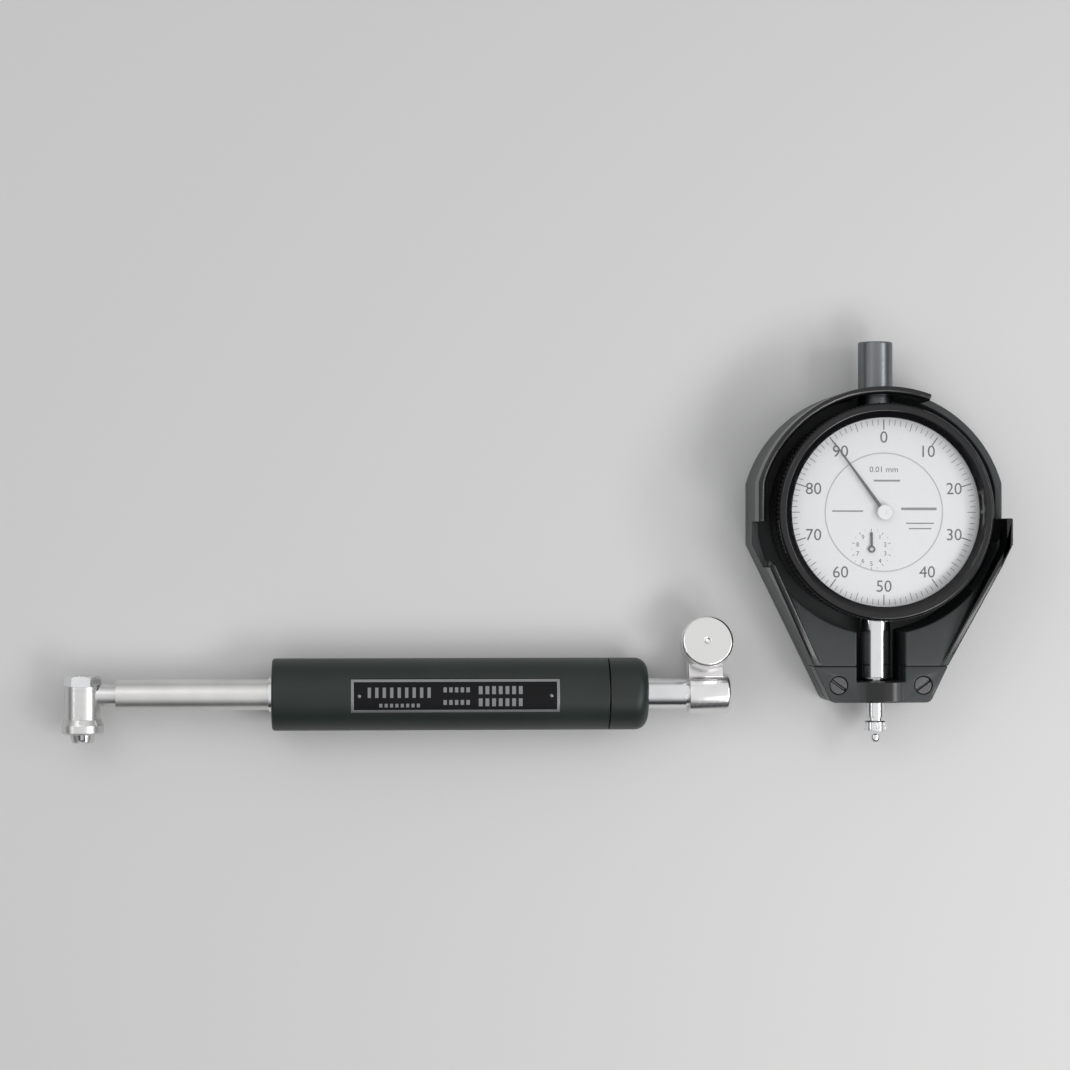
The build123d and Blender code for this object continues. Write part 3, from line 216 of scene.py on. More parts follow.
def noise(tree, grains, detail=4.0):
    """A noise with that many grains to the millimetre along X, Y and Z."""
    place = tree.nodes.new("ShaderNodeTexCoord")
    mapping = tree.nodes.new("ShaderNodeMapping")
    mapping.inputs["Scale"].default_value = [g / mm for g in grains]
    texture = tree.nodes.new("ShaderNodeTexNoise")
    texture.inputs["Scale"].default_value = 1.0
    texture.inputs["Detail"].default_value = detail
    tree.links.new(place.outputs["Object"], mapping.inputs["Vector"])
    tree.links.new(mapping.outputs["Vector"], texture.inputs["Vector"])
    return texture.outputs["Fac"]


def spread(tree, source, low, high, socket):
    """Runs a noise between two values into one socket of the shader."""
    span = tree.nodes.new("ShaderNodeMapRange")
    span.inputs["From Min"].default_value = noise_low
    span.inputs["From Max"].default_value = noise_high
    span.inputs["To Min"].default_value = low
    span.inputs["To Max"].default_value = high
    tree.links.new(source, span.inputs["Value"])
    tree.links.new(span.outputs["Result"], socket)


def tint(tree, source, dark, light, socket):
    """Runs a noise between two colours into one socket of the shader."""
    ramp = tree.nodes.new("ShaderNodeValToRGB")
    first, last = ramp.color_ramp.elements
    first.position, first.color = noise_low, (*dark, 1)
    last.position, last.color = noise_high, (*light, 1)
    tree.links.new(source, ramp.inputs["Fac"])
    tree.links.new(ramp.outputs["Color"], socket)


def less_shine(material, share):
    """Lowers the mirror share of a dull surface."""
    material.node_tree.nodes["Principled BSDF"].inputs["Specular IOR Level"].default_value = share


def relief(tree, shader, source, depth, strength=1.0, edge=None):
    """Fine relief from a noise, over edges that are rounded in the shading."""
    bump = tree.nodes.new("ShaderNodeBump")
    bump.inputs["Distance"].default_value = depth
    bump.inputs["Strength"].default_value = strength
    tree.links.new(source, bump.inputs["Height"])
    if edge:
        rounding = tree.nodes.new("ShaderNodeBevel")
        rounding.samples = 6
        rounding.inputs["Radius"].default_value = edge
        tree.links.new(rounding.outputs["Normal"], bump.inputs["Normal"])
    tree.links.new(bump.outputs["Normal"], shader.inputs["Normal"])


def shade(colour, factor):
    """The same colour, darker or lighter."""
    return tuple(c * factor for c in colour)


# %% [markdown]
# **Turned and ground metal.** The head, the stem tube and the guide are turned steel with a
# satin finish. A lathe leaves fine rings round the axis, so the noise is fine along the axis and
# long across it. The polished pieces use the same helper with fewer, shallower lines. An
# anisotropic shader would also stretch the light, but it needs tangents on every piece.

# %% Metals
line_grains = {  # grains to the millimetre for lines round each axis, and for none in particular
    "x": (9.0, 0.25, 0.25),
    "y": (0.25, 9.0, 0.25),
    "": (1.5, 1.5, 1.5),
}


def metal(name, colour, roughness, lines="", depth=0.0015, edge=0.12):
    """A machined metal, with fine lines round one axis or with none in particular."""
    material, shader, tree = new_finish(name, colour, 1.0, roughness)
    fine = noise(tree, line_grains[lines])
    broad = noise(tree, (0.12, 0.12, 0.12), 2.0)
    spread(tree, fine, roughness * 0.85, roughness * 1.2, shader.inputs["Roughness"])
    tint(tree, broad, shade(colour, 0.94), shade(colour, 1.03), shader.inputs["Base Color"])
    relief(tree, shader, fine, depth * mm, 0.6, edge * mm)
    return material


satin_along = metal("satin steel turned along the stem", (0.74, 0.73, 0.72), 0.34, "x")
satin_across = metal("satin steel turned across the stem", (0.70, 0.70, 0.69), 0.32, "y")
chrome_along = metal("polished chrome along the stem", (0.80, 0.80, 0.81), 0.13, "x", 0.0006)
chrome_across = metal("polished chrome across the stem", (0.82, 0.82, 0.83), 0.11, "y", 0.0006)
clamp_satin = metal("lapped chrome of the clamp", (0.82, 0.81, 0.81), 0.23, "x", 0.0004, 0.2)
ground_steel = metal("ground steel", (0.62, 0.62, 0.61), 0.25)
dark_steel = metal("oiled dark steel", (0.11, 0.11, 0.115), 0.35, "", 0.002, 0.15)
hard_tip = metal("hard metal tip", (0.50, 0.50, 0.52), 0.15)
spring_steel = metal("spring steel", (0.45, 0.45, 0.46), 0.3)
brass = metal("satin brass", (0.76, 0.58, 0.30), 0.3)
plain_alloy = metal("plain alloy", (0.60, 0.60, 0.61), 0.4)
border_alloy = metal("dull border of the plate", (0.27, 0.275, 0.28), 0.4)
cap_alloy = metal("satin cap alloy", (0.19, 0.20, 0.21), 0.34, "y", 0.002, 0.3)
case_alloy = metal("blasted case alloy", (0.30, 0.31, 0.31), 0.48, "", 0.004)
print("metals made:", len(bpy.data.materials), "materials so far")


# %% [markdown]
# The thumb screw's round face was turned, so its fine marks are rings about the screw's axis. A
# noise that reads only the distance from the face's middle makes such rings. The middle is found
# from the joint's axis and the point of the screw that lies furthest along it.

# %% Turned face of the thumb screw
screw_joint = next(j for j in frame["joints"] if j["name"] == "clamp_screw_turn")
screw_axis = Vector(screw_joint["axis"]).normalized()
screw_place = Vector(screw_joint["pos_m"])
knob_height = max((v.co - screw_place).dot(screw_axis) for v in nodes["clamp_screw"].data.vertices)
knob_middle = screw_place + screw_axis * knob_height
knob_rings_per_mm = 7.0
knob_smoothest, knob_roughest = 0.13, 0.24
knob_polish, knob_shader, knob_tree = new_finish(
    "turned chrome of the thumb screw", (0.82, 0.81, 0.80), 1.0, 0.17)
knob_coords = knob_tree.nodes.new("ShaderNodeTexCoord")
knob_reach = knob_tree.nodes.new("ShaderNodeVectorMath")
knob_reach.operation = "DISTANCE"
knob_reach.inputs[1].default_value = knob_middle
knob_rings = knob_tree.nodes.new("ShaderNodeTexNoise")
knob_rings.noise_dimensions = "1D"
knob_rings.inputs["Scale"].default_value = knob_rings_per_mm / mm
knob_tree.links.new(knob_coords.outputs["Object"], knob_reach.inputs[0])
knob_tree.links.new(knob_reach.outputs["Value"], knob_rings.inputs["W"])
knob_noise = knob_rings.outputs["Fac"]
spread(knob_tree, knob_noise, knob_smoothest, knob_roughest, knob_shader.inputs["Roughness"])
relief(knob_tree, knob_shader, knob_noise, 0.0012 * mm, 0.7)
print("thumb screw's face", [round(v / mm, 2) for v in knob_middle])


# %% [markdown]
# **Moulded plastic.** The grip and the guard have the fine dull texture of a spark-eroded mould.
# Two noises make it: a fine one for the grain, and a broad one that lightens and darkens the
# colour in patches, a painted sheen that stands for the slight unevenness of the gloss that any
# moulding has. The grip leans towards green. The guard's neck is as dull as the grip, but its
# raised rim came from a polished part of the mould, so a little above the heads of the neck's
# screws the same shader turns glossier. It turns blacker there as well, which is painted shade.

# %% Plastics
# Where the guard turns glossy, and where its colour is painted darker as shade.
polish_and_shade_blend = 0.2 * mm
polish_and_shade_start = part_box("guard_screws")[1].z + 1.0 * mm


def plastic(name, colour, roughness, grain, depth, edge):
    """A moulded plastic with a fine grain."""
    material, shader, tree = new_finish(name, colour, 0.0, roughness)
    fine = noise(tree, (grain, grain, grain))
    broad = noise(tree, (0.06, 0.06, 0.06), 3.0)
    # The broad noise paints a sheen into the colour, lighter and darker in patches.
    tint(tree, broad, shade(colour, 0.85), shade(colour, 1.2), shader.inputs["Base Color"])
    spread(tree, fine, roughness * 0.85, roughness * 1.15, shader.inputs["Roughness"])
    relief(tree, shader, fine, depth * mm, 0.5, edge * mm)
    return material


def polish_above(material, height, colour, roughness):
    """Turns a plastic glossier above a height, and paints its colour darker there as shade."""
    tree = material.node_tree
    shader = tree.nodes["Principled BSDF"]
    place = tree.nodes.new("ShaderNodeTexCoord")
    split = tree.nodes.new("ShaderNodeSeparateXYZ")
    share = tree.nodes.new("ShaderNodeMapRange")
    share.inputs["From Min"].default_value = height - polish_and_shade_blend
    share.inputs["From Max"].default_value = height + polish_and_shade_blend
    tree.links.new(place.outputs["Object"], split.inputs[0])
    tree.links.new(split.outputs["Z"], share.inputs["Value"])
    polished = (("Base Color", "RGBA", (*colour, 1)), ("Roughness", "FLOAT", roughness))
    for socket, kind, value in polished:
        blend = tree.nodes.new("ShaderNodeMix")
        blend.data_type = kind
        factor, low, high = [s for s in blend.inputs if s.enabled]
        tree.links.new(share.outputs["Result"], factor)
        tree.links.new(shader.inputs[socket].links[0].from_socket, low)
        high.default_value = value
        tree.links.new([s for s in blend.outputs if s.enabled][0], shader.inputs[socket])


grip_plastic = plastic("satin grip plastic", (0.012, 0.019, 0.016), 0.44, 5.0, 0.02, 0.3)
guard_plastic = plastic("moulded guard plastic", (0.026, 0.030, 0.031), 0.4, 4.0, 0.02, 0.3)
# Above that height the guard is glossier, and its colour is painted darker as shade.
polish_above(guard_plastic, polish_and_shade_start, (0.005, 0.005, 0.006), 0.18)
bezel_black = plastic("gloss bezel black", (0.004, 0.004, 0.005), 0.12, 1.2, 0.002, 0.25)
grip_shine = 0.4
less_shine(grip_plastic, grip_shine)
print("the guard turns glossy at a height of", round(polish_and_shade_start / mm, 1), "mm")

# %% [markdown]
# **The face and the crystal.** The face is white enamel with a very faint tooth, and the print on
# it is dark ink that has soaked in a little unevenly. The crystal is clear, thin and flat, so it
# bends nothing that one could see, and shows itself only by the few hundredths of the light that
# it mirrors. A mirror finish with a very low alpha does just that, and it lets the lamps light the
# face, which a transmission shader would keep dark.

# %% Enamel, ink and crystal
def enamel(name, colour, roughness):
    """A thin matt coat with a faint tooth."""
    material, shader, tree = new_finish(name, colour, 0.0, roughness)
    fine = noise(tree, (3.0, 3.0, 3.0))
    spread(tree, fine, roughness * 0.9, roughness * 1.1, shader.inputs["Roughness"])
    tint(tree, fine, shade(colour, 0.97), shade(colour, 1.02), shader.inputs["Base Color"])
    relief(tree, shader, fine, 0.002 * mm, 0.3)
    return material


face_white = enamel("white face enamel", (0.74, 0.745, 0.755), 0.55)
dark_ink = enamel("dark face ink", (0.075, 0.076, 0.08), 0.5)
pale_ink = enamel("pale grey ink", (0.42, 0.42, 0.43), 0.5)
grey_ink = enamel("grey ink", (0.22, 0.22, 0.23), 0.5)
hand_enamel = enamel("dark hand enamel", (0.07, 0.07, 0.075), 0.35)
hub_enamel = enamel("pale hub enamel", (0.78, 0.78, 0.78), 0.3)
plate_black = enamel("black plate lacquer", (0.005, 0.005, 0.006), 0.5)
plate_print = enamel("silver plate print", (0.20, 0.205, 0.21), 0.4)
plate_shine = 0.15
less_shine(plate_black, plate_shine)

crystal_share = 0.05
crystal_clear, crystal_shader, _ = new_finish("clear crystal", (0.95, 0.95, 0.95), 1.0, 0.02)
crystal_shader.inputs["Alpha"].default_value = crystal_share
print("the crystal mirrors", crystal_share, "of the light")

# %% [markdown]
# Each piece of the solid model now gets its finish. The pieces inside the head and the dial are
# hidden at rest, but they are finished too, because the model may be opened.

# %% Finishes on the solid pieces
finishes = {
    satin_along: ["stem_tube"],
    satin_across: ["head_body", "anvil_seat", "guide", "guide_pins"],
    chrome_along: ["tube_collar", "rear_tube"],
    chrome_across: ["anvil_nut", "dial_stem", "spindle", "contact_point"],
    clamp_satin: ["dial_clamp"],
    knob_polish: ["clamp_screw", "clamp_washer"],
    ground_steel: ["plunger", "bell_crank", "crank_pin", "push_rod", "rod_button", "rod_collar",
                   "guide_arm", "back_screws", "plate_screws", "plate_pillars", "rack_pinion",
                   "centre_pinion"],
    dark_steel: ["guard_screws"],
    hard_tip: ["contact_tip"],
    spring_steel: ["guide_spring", "rod_spring", "return_spring", "bezel_wire"],
    brass: ["plunger_bush", "front_rod_bush", "rear_rod_bush", "top_bush", "rear_bridge",
            "top_plate", "counter_wheel", "hair_wheel", "hairspring"],
    plain_alloy: ["grip_core"],
    cap_alloy: ["spindle_cap"],
    case_alloy: ["dial_case", "back_cover"],
    grip_plastic: ["grip_sleeve", "grip_end"],
    guard_plastic: ["guard_shell", "guard_bar"],
    bezel_black: ["bezel"],
    crystal_clear: ["crystal"],
    face_white: ["centre_disc", "scale_ring"],
    hand_enamel: ["pointer", "counter_hand"],
    hub_enamel: ["pointer_hub"],
    plate_black: ["nameplate"],
}
for material, names in finishes.items():
    for name in names:
        nodes[name].data.materials.clear()
        nodes[name].data.materials.append(material)
missing = sorted(set(nodes) - {n for names in finishes.values() for n in names})
print("finished:", len(nodes) - len(missing), "pieces, without a finish:", missing)


# %% [markdown]
# ## Shading of the round pieces
#
# A solid model arrives as flat triangles, and its cylinders show their facets. Smoothing by
# angle rounds the shading wherever two faces meet at a shallow angle, and leaves true edges
# sharp. It changes no vertex.

# %% Smooth round surfaces
smooth_angle = math.radians(32)
bpy.ops.object.select_all(action="DESELECT")
for node in nodes.values():
    node.select_set(True)
bpy.context.view_layer.objects.active = nodes["guide"]
bpy.ops.object.shade_smooth_by_angle(angle=smooth_angle)
bpy.ops.object.select_all(action="DESELECT")
print("smoothed:", len(nodes), "pieces")


# %% [markdown]
# ## Helpers for modelled pieces
#
# New pieces are modelled as by hand: a primitive is added, its faces are chosen and shaped, and
# copies are turned round an axis and joined. These helpers hold the steps that every piece
# repeats, so that the cells below show only what is particular to each.

# %% Modelling helpers
def only(piece):
    """Deselects all, then selects one piece and makes it the active one."""
    bpy.ops.object.select_all(action="DESELECT")
    piece.select_set(True)
    bpy.context.view_layer.objects.active = piece


def settle(piece, material, body):
    """Puts a piece's place into its mesh, gives it its finish, and lets it ride on a body."""
    only(piece)
    bpy.ops.object.transform_apply(location=True, rotation=True, scale=True)
    piece.data.materials.clear()
    piece.data.materials.append(material)
    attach(piece, body)


def joined(pieces, name):
    """Several pieces made one."""
    bpy.ops.object.select_all(action="DESELECT")
    for piece in pieces:
        piece.select_set(True)
    bpy.context.view_layer.objects.active = pieces[0]
    if len(pieces) > 1:
        bpy.ops.object.join()
    pieces[0].name = name
    return pieces[0]


def turned_copies(piece, centre, angles):
    """Copies of a piece, each with its own mesh, turned clockwise about a centre."""
    copies = []
    for angle in angles:
        copy = piece.copy()
        copy.data = piece.data.copy()
        bpy.context.scene.collection.objects.link(copy)
        turn = Matrix.Translation(centre) @ Matrix.Rotation(-math.radians(angle), 4, "Z")
        copy.data.transform(turn @ Matrix.Translation(-Vector(centre)))
        copies.append(copy)
    return copies


def bar(x, y, low, width, length, thickness):
    """A flat printed bar, drawn up from a plane, with its middle at x and y."""
    bpy.ops.object.select_all(action="DESELECT")
    bpy.ops.mesh.primitive_plane_add(size=1.0, location=(x, y, low))
    piece = bpy.context.active_object
    piece.scale = (width, length, 1)
    bpy.ops.object.transform_apply(location=True, rotation=False, scale=True)
    bpy.ops.object.mode_set(mode="EDIT")
    bpy.ops.mesh.select_all(action="SELECT")
    bpy.ops.mesh.extrude_region_move(TRANSFORM_OT_translate={"value": (0, 0, thickness)})
    bpy.ops.mesh.select_all(action="SELECT")
    bpy.ops.mesh.normals_make_consistent(inside=False)
    bpy.ops.object.mode_set(mode="OBJECT")
    return piece


figure_height_share = 0.69  # a figure's height over the size of its type


def words(text, x, y, low, height, thickness):
    """Upright figures, centred on x and y, turned into a mesh before they are placed."""
    bpy.ops.object.select_all(action="DESELECT")
    bpy.ops.object.text_add()
    piece = bpy.context.active_object
    piece.data.body = text
    piece.data.size = height / figure_height_share
    piece.data.align_x = "CENTER"
    piece.data.align_y = "CENTER"
    piece.data.extrude = thickness / 2
    piece.data.resolution_u = 4
    bpy.ops.object.convert(target="MESH")
    piece = bpy.context.active_object
    piece.data.transform(Matrix.Translation((x, y, low + thickness / 2)))
    return piece


# %% [markdown]
# ## Dimples
#
# The lathe's centre leaves a small conical dimple in the middle of the thumb screw's face, and
# the pointer's hub has one too, where it is pressed on to its arbor. The flat end is chosen by its
# height along the axis, made a single face, inset to the dimple's edge, and poked, which gives it
# a middle point that is pushed inwards. It is cut into a copy before the copy's edges are rounded,
# so that the dimple's own edge gets a small round too.

# %% Dimple in a flat end
same_height = 0.01 * mm
same_way = 0.9999


def dimple(piece, place, axis, radius, depth):
    """A small cone pushed into a piece's flat end, round an axis through a place."""
    only(piece)
    bpy.ops.object.mode_set(mode="EDIT")
    bpy.ops.mesh.select_mode(type="FACE")
    bpy.ops.mesh.select_all(action="DESELECT")
    bpy.ops.object.mode_set(mode="OBJECT")
    end = max((v.co - place).dot(axis) for v in piece.data.vertices)
    centre = place + axis * end
    flat_r = 0.0
    for polygon in piece.data.polygons:
        at_end = (polygon.center - place).dot(axis) > end - same_height
        if at_end and polygon.normal.dot(axis) > same_way:
            polygon.select = True
            reach = max((piece.data.vertices[v].co - centre).length for v in polygon.vertices)
            flat_r = max(flat_r, reach)
    bpy.ops.object.mode_set(mode="EDIT")
    bpy.ops.mesh.dissolve_faces()
    bpy.ops.mesh.inset(thickness=flat_r - radius)
    bpy.ops.mesh.poke(offset=-depth)
    bpy.ops.object.mode_set(mode="OBJECT")
    print(piece.name, "flat end", round(flat_r / mm, 2), "mm in radius")


dimples = {  # a place on the axis, the axis, and the dimple's radius and depth
    "clamp_screw": (screw_place, screw_axis, 0.85 * mm, 1.2 * mm),
    "pointer_hub": (middle("pointer_hub"), Vector((0, 0, 1)), 0.5 * mm, 0.5 * mm),
}


# %% [markdown]
# ## Soft edges
#
# A solid model's edges are perfectly sharp, but a moulded rim, a machined clamp and a turned knob
# all have a small round that catches the light as a thin line. The solid pieces themselves stay
# as they are. A copy of each is merged, its flat areas are made single faces again, and a bevel
# rounds every edge that turns by more than a few facets do. The copy then stands for the piece.
# The inner edge of the guard's rim is rounded three times as much as its others, so each edge is
# given its share of the widest round, and the bevel follows those shares. It also hardens the
# normals, which keeps flat faces flat in the shading and leaves the whole turn to the round. Where
# a ledge of the guard tapers to nothing, its two edges come closer than their rounds are wide, and
# the rounds would fold over. The short edges there are found first and stay sharp.

# %% The rounds, and the guard's rim
edge_rounds = {  # the round in millimetres, the body, and the slot
    "guard_shell": (0.4, "root", "guard_plastic"),
    "guard_bar": (0.3, "root", "guard_plastic"),
    "guard_screws": (0.2, "root", "bright_steel"),
    "dial_clamp": (0.3, "root", "chrome_plate"),
    "clamp_washer": (0.15, "screw_travel", "chrome_plate"),
    "clamp_screw": (0.2, "clamp_screw", "chrome_plate"),
    "bezel": (0.2, "bezel", "bezel_black"),
    "pointer_hub": (0.15, "centre", "hub_white"),
}
sharp_angle = math.radians(36)
rim_round = 1.25  # the widest round, in millimetres
rim_wall = 2.0 * mm
rim_margin = 0.1 * mm
rim_arc_drop = 2.0 * mm
rim_arc_middle = Vector((dial.x, dial.y - rim_arc_drop))
guard_low, guard_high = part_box("guard_shell")
rim_arc_r = guard_high.y - rim_arc_middle.y - rim_wall
rim_side = (guard_high.x - guard_low.x) / 2 - rim_wall
print("rim's inner arc", round(rim_arc_r / mm, 2), "mm in radius")


def on_inner_rim(point):
    """True for a point on the inner edge of the guard's rim."""
    reach = point.xy - rim_arc_middle
    inside = reach.length < rim_arc_r + rim_margin and abs(reach.x) < rim_side + rim_margin
    return inside and point.z > guard_high.z - same_height


# %% [markdown]
# In a face's own list of corners, two sides that lie across from each other run in opposite
# directions. That tells a narrow ledge, whose two sides crowd each other, from a run of short
# edges round an arc, which all go the same way.

# %% Edges that crowd each other
longest_crowded = 3.0 * mm
opposite = -0.5  # two directions whose dot product is below this run against each other


def polygon_sides(polygon):
    """The sides of a face as pairs of corners, in the face's own order."""
    corners = polygon.vertices
    return [(corners[n - 1], corners[n]) for n in range(len(corners))]


def gap(point, start, end):
    """How far a point is from a straight side."""
    along = end - start
    share = min(1.0, max(0.0, (point - start).dot(along) / along.length_squared))
    return (point - start - along * share).length


def crowds(side, other, reach):
    """True for a short side that runs back along another one, closer than a reach."""
    start, end = side
    other_start, other_end = other
    along, other_along = end - start, other_end - other_start
    if along.length > longest_crowded:
        return False
    if along.normalized().dot(other_along.normalized()) > opposite:
        return False
    return any(gap(point, *other) < reach for point in (start, (start + end) / 2, end))


def crowded_edges(piece, reach):
    """The chosen edges of a piece that crowd another one in the same face."""
    places = [v.co for v in piece.data.vertices]
    chosen = {edge.key for edge in piece.data.edges if edge.select}
    crowded = set()
    for polygon in piece.data.polygons:
        sides = [side for side in polygon_sides(polygon) if tuple(sorted(side)) in chosen]
        for a, b in sides:
            others = [(places[c], places[d]) for c, d in sides if (c, d) != (a, b)]
            if any(crowds((places[a], places[b]), other, reach) for other in others):
                crowded.add(tuple(sorted((a, b))))
    return crowded


# %% Copies with rounded edges
merge_distance = 0.001 * mm
flat_angle = math.radians(0.3)


def rounded_copy(name, radius, body, slot):
    """A merged copy of a solid piece with its sharp edges rounded, which stands for that piece."""
    bpy.ops.object.select_all(action="DESELECT")
    piece = nodes[name].copy()
    piece.data = nodes[name].data.copy()
    piece.name = name + "_rounded"
    piece.parent = None
    piece.matrix_world = nodes[name].matrix_world.copy()
    bpy.context.scene.collection.objects.link(piece)
    only(piece)
    bpy.ops.object.mode_set(mode="EDIT")
    bpy.ops.mesh.select_all(action="SELECT")
    bpy.ops.mesh.remove_doubles(threshold=merge_distance)
    bpy.ops.mesh.dissolve_limited(angle_limit=flat_angle)
    bpy.ops.object.mode_set(mode="OBJECT")
    if name in dimples:
        dimple(piece, *dimples[name])
    bpy.ops.object.shade_smooth_by_angle(angle=smooth_angle)
    bpy.ops.object.mode_set(mode="EDIT")
    bpy.ops.mesh.select_mode(type="EDGE")
    bpy.ops.mesh.select_all(action="DESELECT")
    bpy.ops.mesh.edges_select_sharp(sharpness=sharp_angle)
    bpy.ops.object.mode_set(mode="OBJECT")
    is_guard = name == "guard_shell"
    crowded = crowded_edges(piece, 2 * radius * mm) if is_guard else set()
    shares = piece.data.attributes.new("bevel_weight_edge", "FLOAT", "EDGE")
    for edge in piece.data.edges:
        if edge.select and edge.key not in crowded:
            ends = [piece.data.vertices[v].co for v in edge.vertices]
            wide = is_guard and all(on_inner_rim(end) for end in ends)
            shares.data[edge.index].value = 1.0 if wide else radius / rim_round
    rounding = piece.modifiers.new("rounding", "BEVEL")
    rounding.width = rim_round * mm
    rounding.segments = 3
    rounding.limit_method = "WEIGHT"
    rounding.use_clamp_overlap = False
    rounding.harden_normals = True
    bpy.ops.object.modifier_apply(modifier=rounding.name)
    settle(piece, nodes[name].data.materials[0], body)
    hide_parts(name)
    return piece


rounded = {name: rounded_copy(name, *facts) for name, facts in edge_rounds.items()}
print("rounded:", {name: len(piece.data.polygons) for name, piece in rounded.items()})

# %% [markdown]
# ## Knurls
#
# What fingers turn is knurled: the thumb screw, the contact point's collar and the bezel's edge.
# A knurl is one small ridge, with its outer edges bevelled, copied round a circle. The ridges are
# made round the vertical axis and then laid along the axis of the piece they belong to.

# %% Knurls
ridge_width_share = 0.6  # a ridge's width over its pitch
ridge_bevel_share = 0.6  # a ridge's bevel over its rise


def knurl(name, radius, low, high, count, rise, axis_place, axis, material, body):
    """A ring of small straight ridges round an axis, between two heights along it."""
    bpy.ops.object.select_all(action="DESELECT")
    bpy.ops.mesh.primitive_cube_add(size=1.0, location=(radius, 0, (low + high) / 2))
    ridge = bpy.context.active_object
    ridge.scale = (2 * rise, 2 * math.pi * radius / count * ridge_width_share, high - low)
    bpy.ops.object.transform_apply(location=True, rotation=False, scale=True)
    bpy.ops.object.mode_set(mode="EDIT")
    bpy.ops.mesh.select_all(action="SELECT")
    bpy.ops.mesh.bevel(offset=rise * ridge_bevel_share, segments=1)
    bpy.ops.object.mode_set(mode="OBJECT")
    ridges = turned_copies(ridge, Vector((0, 0, 0)), [360 / count * n for n in range(count)])
    bpy.data.objects.remove(ridge)
    ring = joined(ridges, name)
    lay = Vector((0, 0, 1)).rotation_difference(axis).to_matrix().to_4x4()
    ring.data.transform(Matrix.Translation(axis_place) @ lay)
    settle(ring, material, body)
    return ring


# %% Knurl of the thumb screw
def from_screw_axis(point):
    """How far a point is from the thumb screw's axis."""
    reach = point - screw_place
    return (reach - screw_axis * reach.dot(screw_axis)).length


knob_r = max(from_screw_axis(v.co) for v in nodes["clamp_screw"].data.vertices)
knob_rim_high = knob_height - 0.75 * mm
knob_rim_low = knob_height - 4.25 * mm
knob_ridges, knob_ridge_rise = 64, 0.12 * mm
knob_knurl = knurl(
    "knob_knurl", knob_r, knob_rim_low, knob_rim_high, knob_ridges, knob_ridge_rise,
    screw_place, screw_axis, chrome_across, "clamp_screw")
print("knob_knurl", len(knob_knurl.data.polygons), "faces on a radius of", round(knob_r / mm, 2), "mm")

# %% Knurl of the contact point
point_low, point_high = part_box("contact_point")
point_middle = middle("contact_point")
point_r = (point_high.x - point_low.x) / 2
point_axis = Vector((0, -1, 0))
collar_start, collar_end = 1.3 * mm, 3.4 * mm
collar_ridges, collar_ridge_rise = 40, 0.06 * mm
spindle_face = Vector((point_middle.x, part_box("spindle")[0].y, point_middle.z))
point_knurl = knurl(
    "point_knurl", point_r, collar_start, collar_end, collar_ridges, collar_ridge_rise,
    spindle_face, point_axis, chrome_across, "spindle")
print("point_knurl", len(point_knurl.data.polygons), "faces")

# %% Knurl of the bezel
bezel_low, bezel_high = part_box("bezel")
bezel_r = (bezel_high.x - bezel_low.x) / 2
grip_low, grip_high = bezel_low.z + 0.6 * mm, bezel_high.z - 1.2 * mm
bezel_ridges, bezel_ridge_rise = 150, 0.18 * mm
bezel_knurl = knurl(
    "bezel_knurl", bezel_r, grip_low, grip_high, bezel_ridges, bezel_ridge_rise,
    Vector((dial.x, dial.y, 0)), Vector((0, 0, 1)), bezel_black, "bezel")
print("bezel_knurl", len(bezel_knurl.data.polygons), "faces")


# %% [markdown]
# ## The scale
#
# A dial of this kind has a hundred divisions, one for each hundredth of a millimetre, with a
# longer mark at every fifth and a heavier one with a figure at every tenth. The print is modelled
# as a thin layer of ink, because a pattern in the shader would blur at this size. The scale turns
# with the bezel, so the layer rides on it.

# %% Graduations
ink = 0.015 * mm
divisions = 100
scale_rim = 24.4 * mm
marks = {  # width, length, and the divisions that carry the mark
    "minor": (0.13 * mm, 1.5 * mm, [n for n in range(divisions) if n % 5]),
    "middle": (0.16 * mm, 2.2 * mm, [n for n in range(divisions) if n % 10 == 5]),
    "major": (0.28 * mm, 2.7 * mm, range(0, divisions, 10)),
}
graduations = []
for width, length, steps in marks.values():
    first = bar(dial.x, dial.y + scale_rim - length / 2, face_top, width, length, ink)
    graduations += turned_copies(first, dial.xyz, [360 / divisions * n for n in steps])
    bpy.data.objects.remove(first)
scale_marks = joined(graduations, "scale_marks")
settle(scale_marks, dark_ink, "bezel")
print("scale:", len(scale_marks.data.polygons), "faces")

# %% [markdown]
# The figures stand upright, as on most dials, so each is placed on its circle and not turned with
# it. Text is made a mesh, because only a mesh can be joined, carried by a body and exported.

# %% Figures
figure_r = 19.6 * mm
figure_height = 3.0 * mm
figures = []
for n in range(0, divisions, 10):
    angle = 2 * math.pi * n / divisions
    x = dial.x + figure_r * math.sin(angle)
    y = dial.y + figure_r * math.cos(angle)
    figures.append(words(str(n), x, y, face_top, figure_height, ink))
scale_figures = joined(figures, "scale_figures")
settle(scale_figures, dark_ink, "bezel")
print("figures:", len(scale_figures.data.polygons), "faces")

# %% [markdown]
# A faint grey circle parts the scale from the fixed disc within it. It is a ring of edges drawn
# outwards to a band, and then upwards to the thickness of the ink.

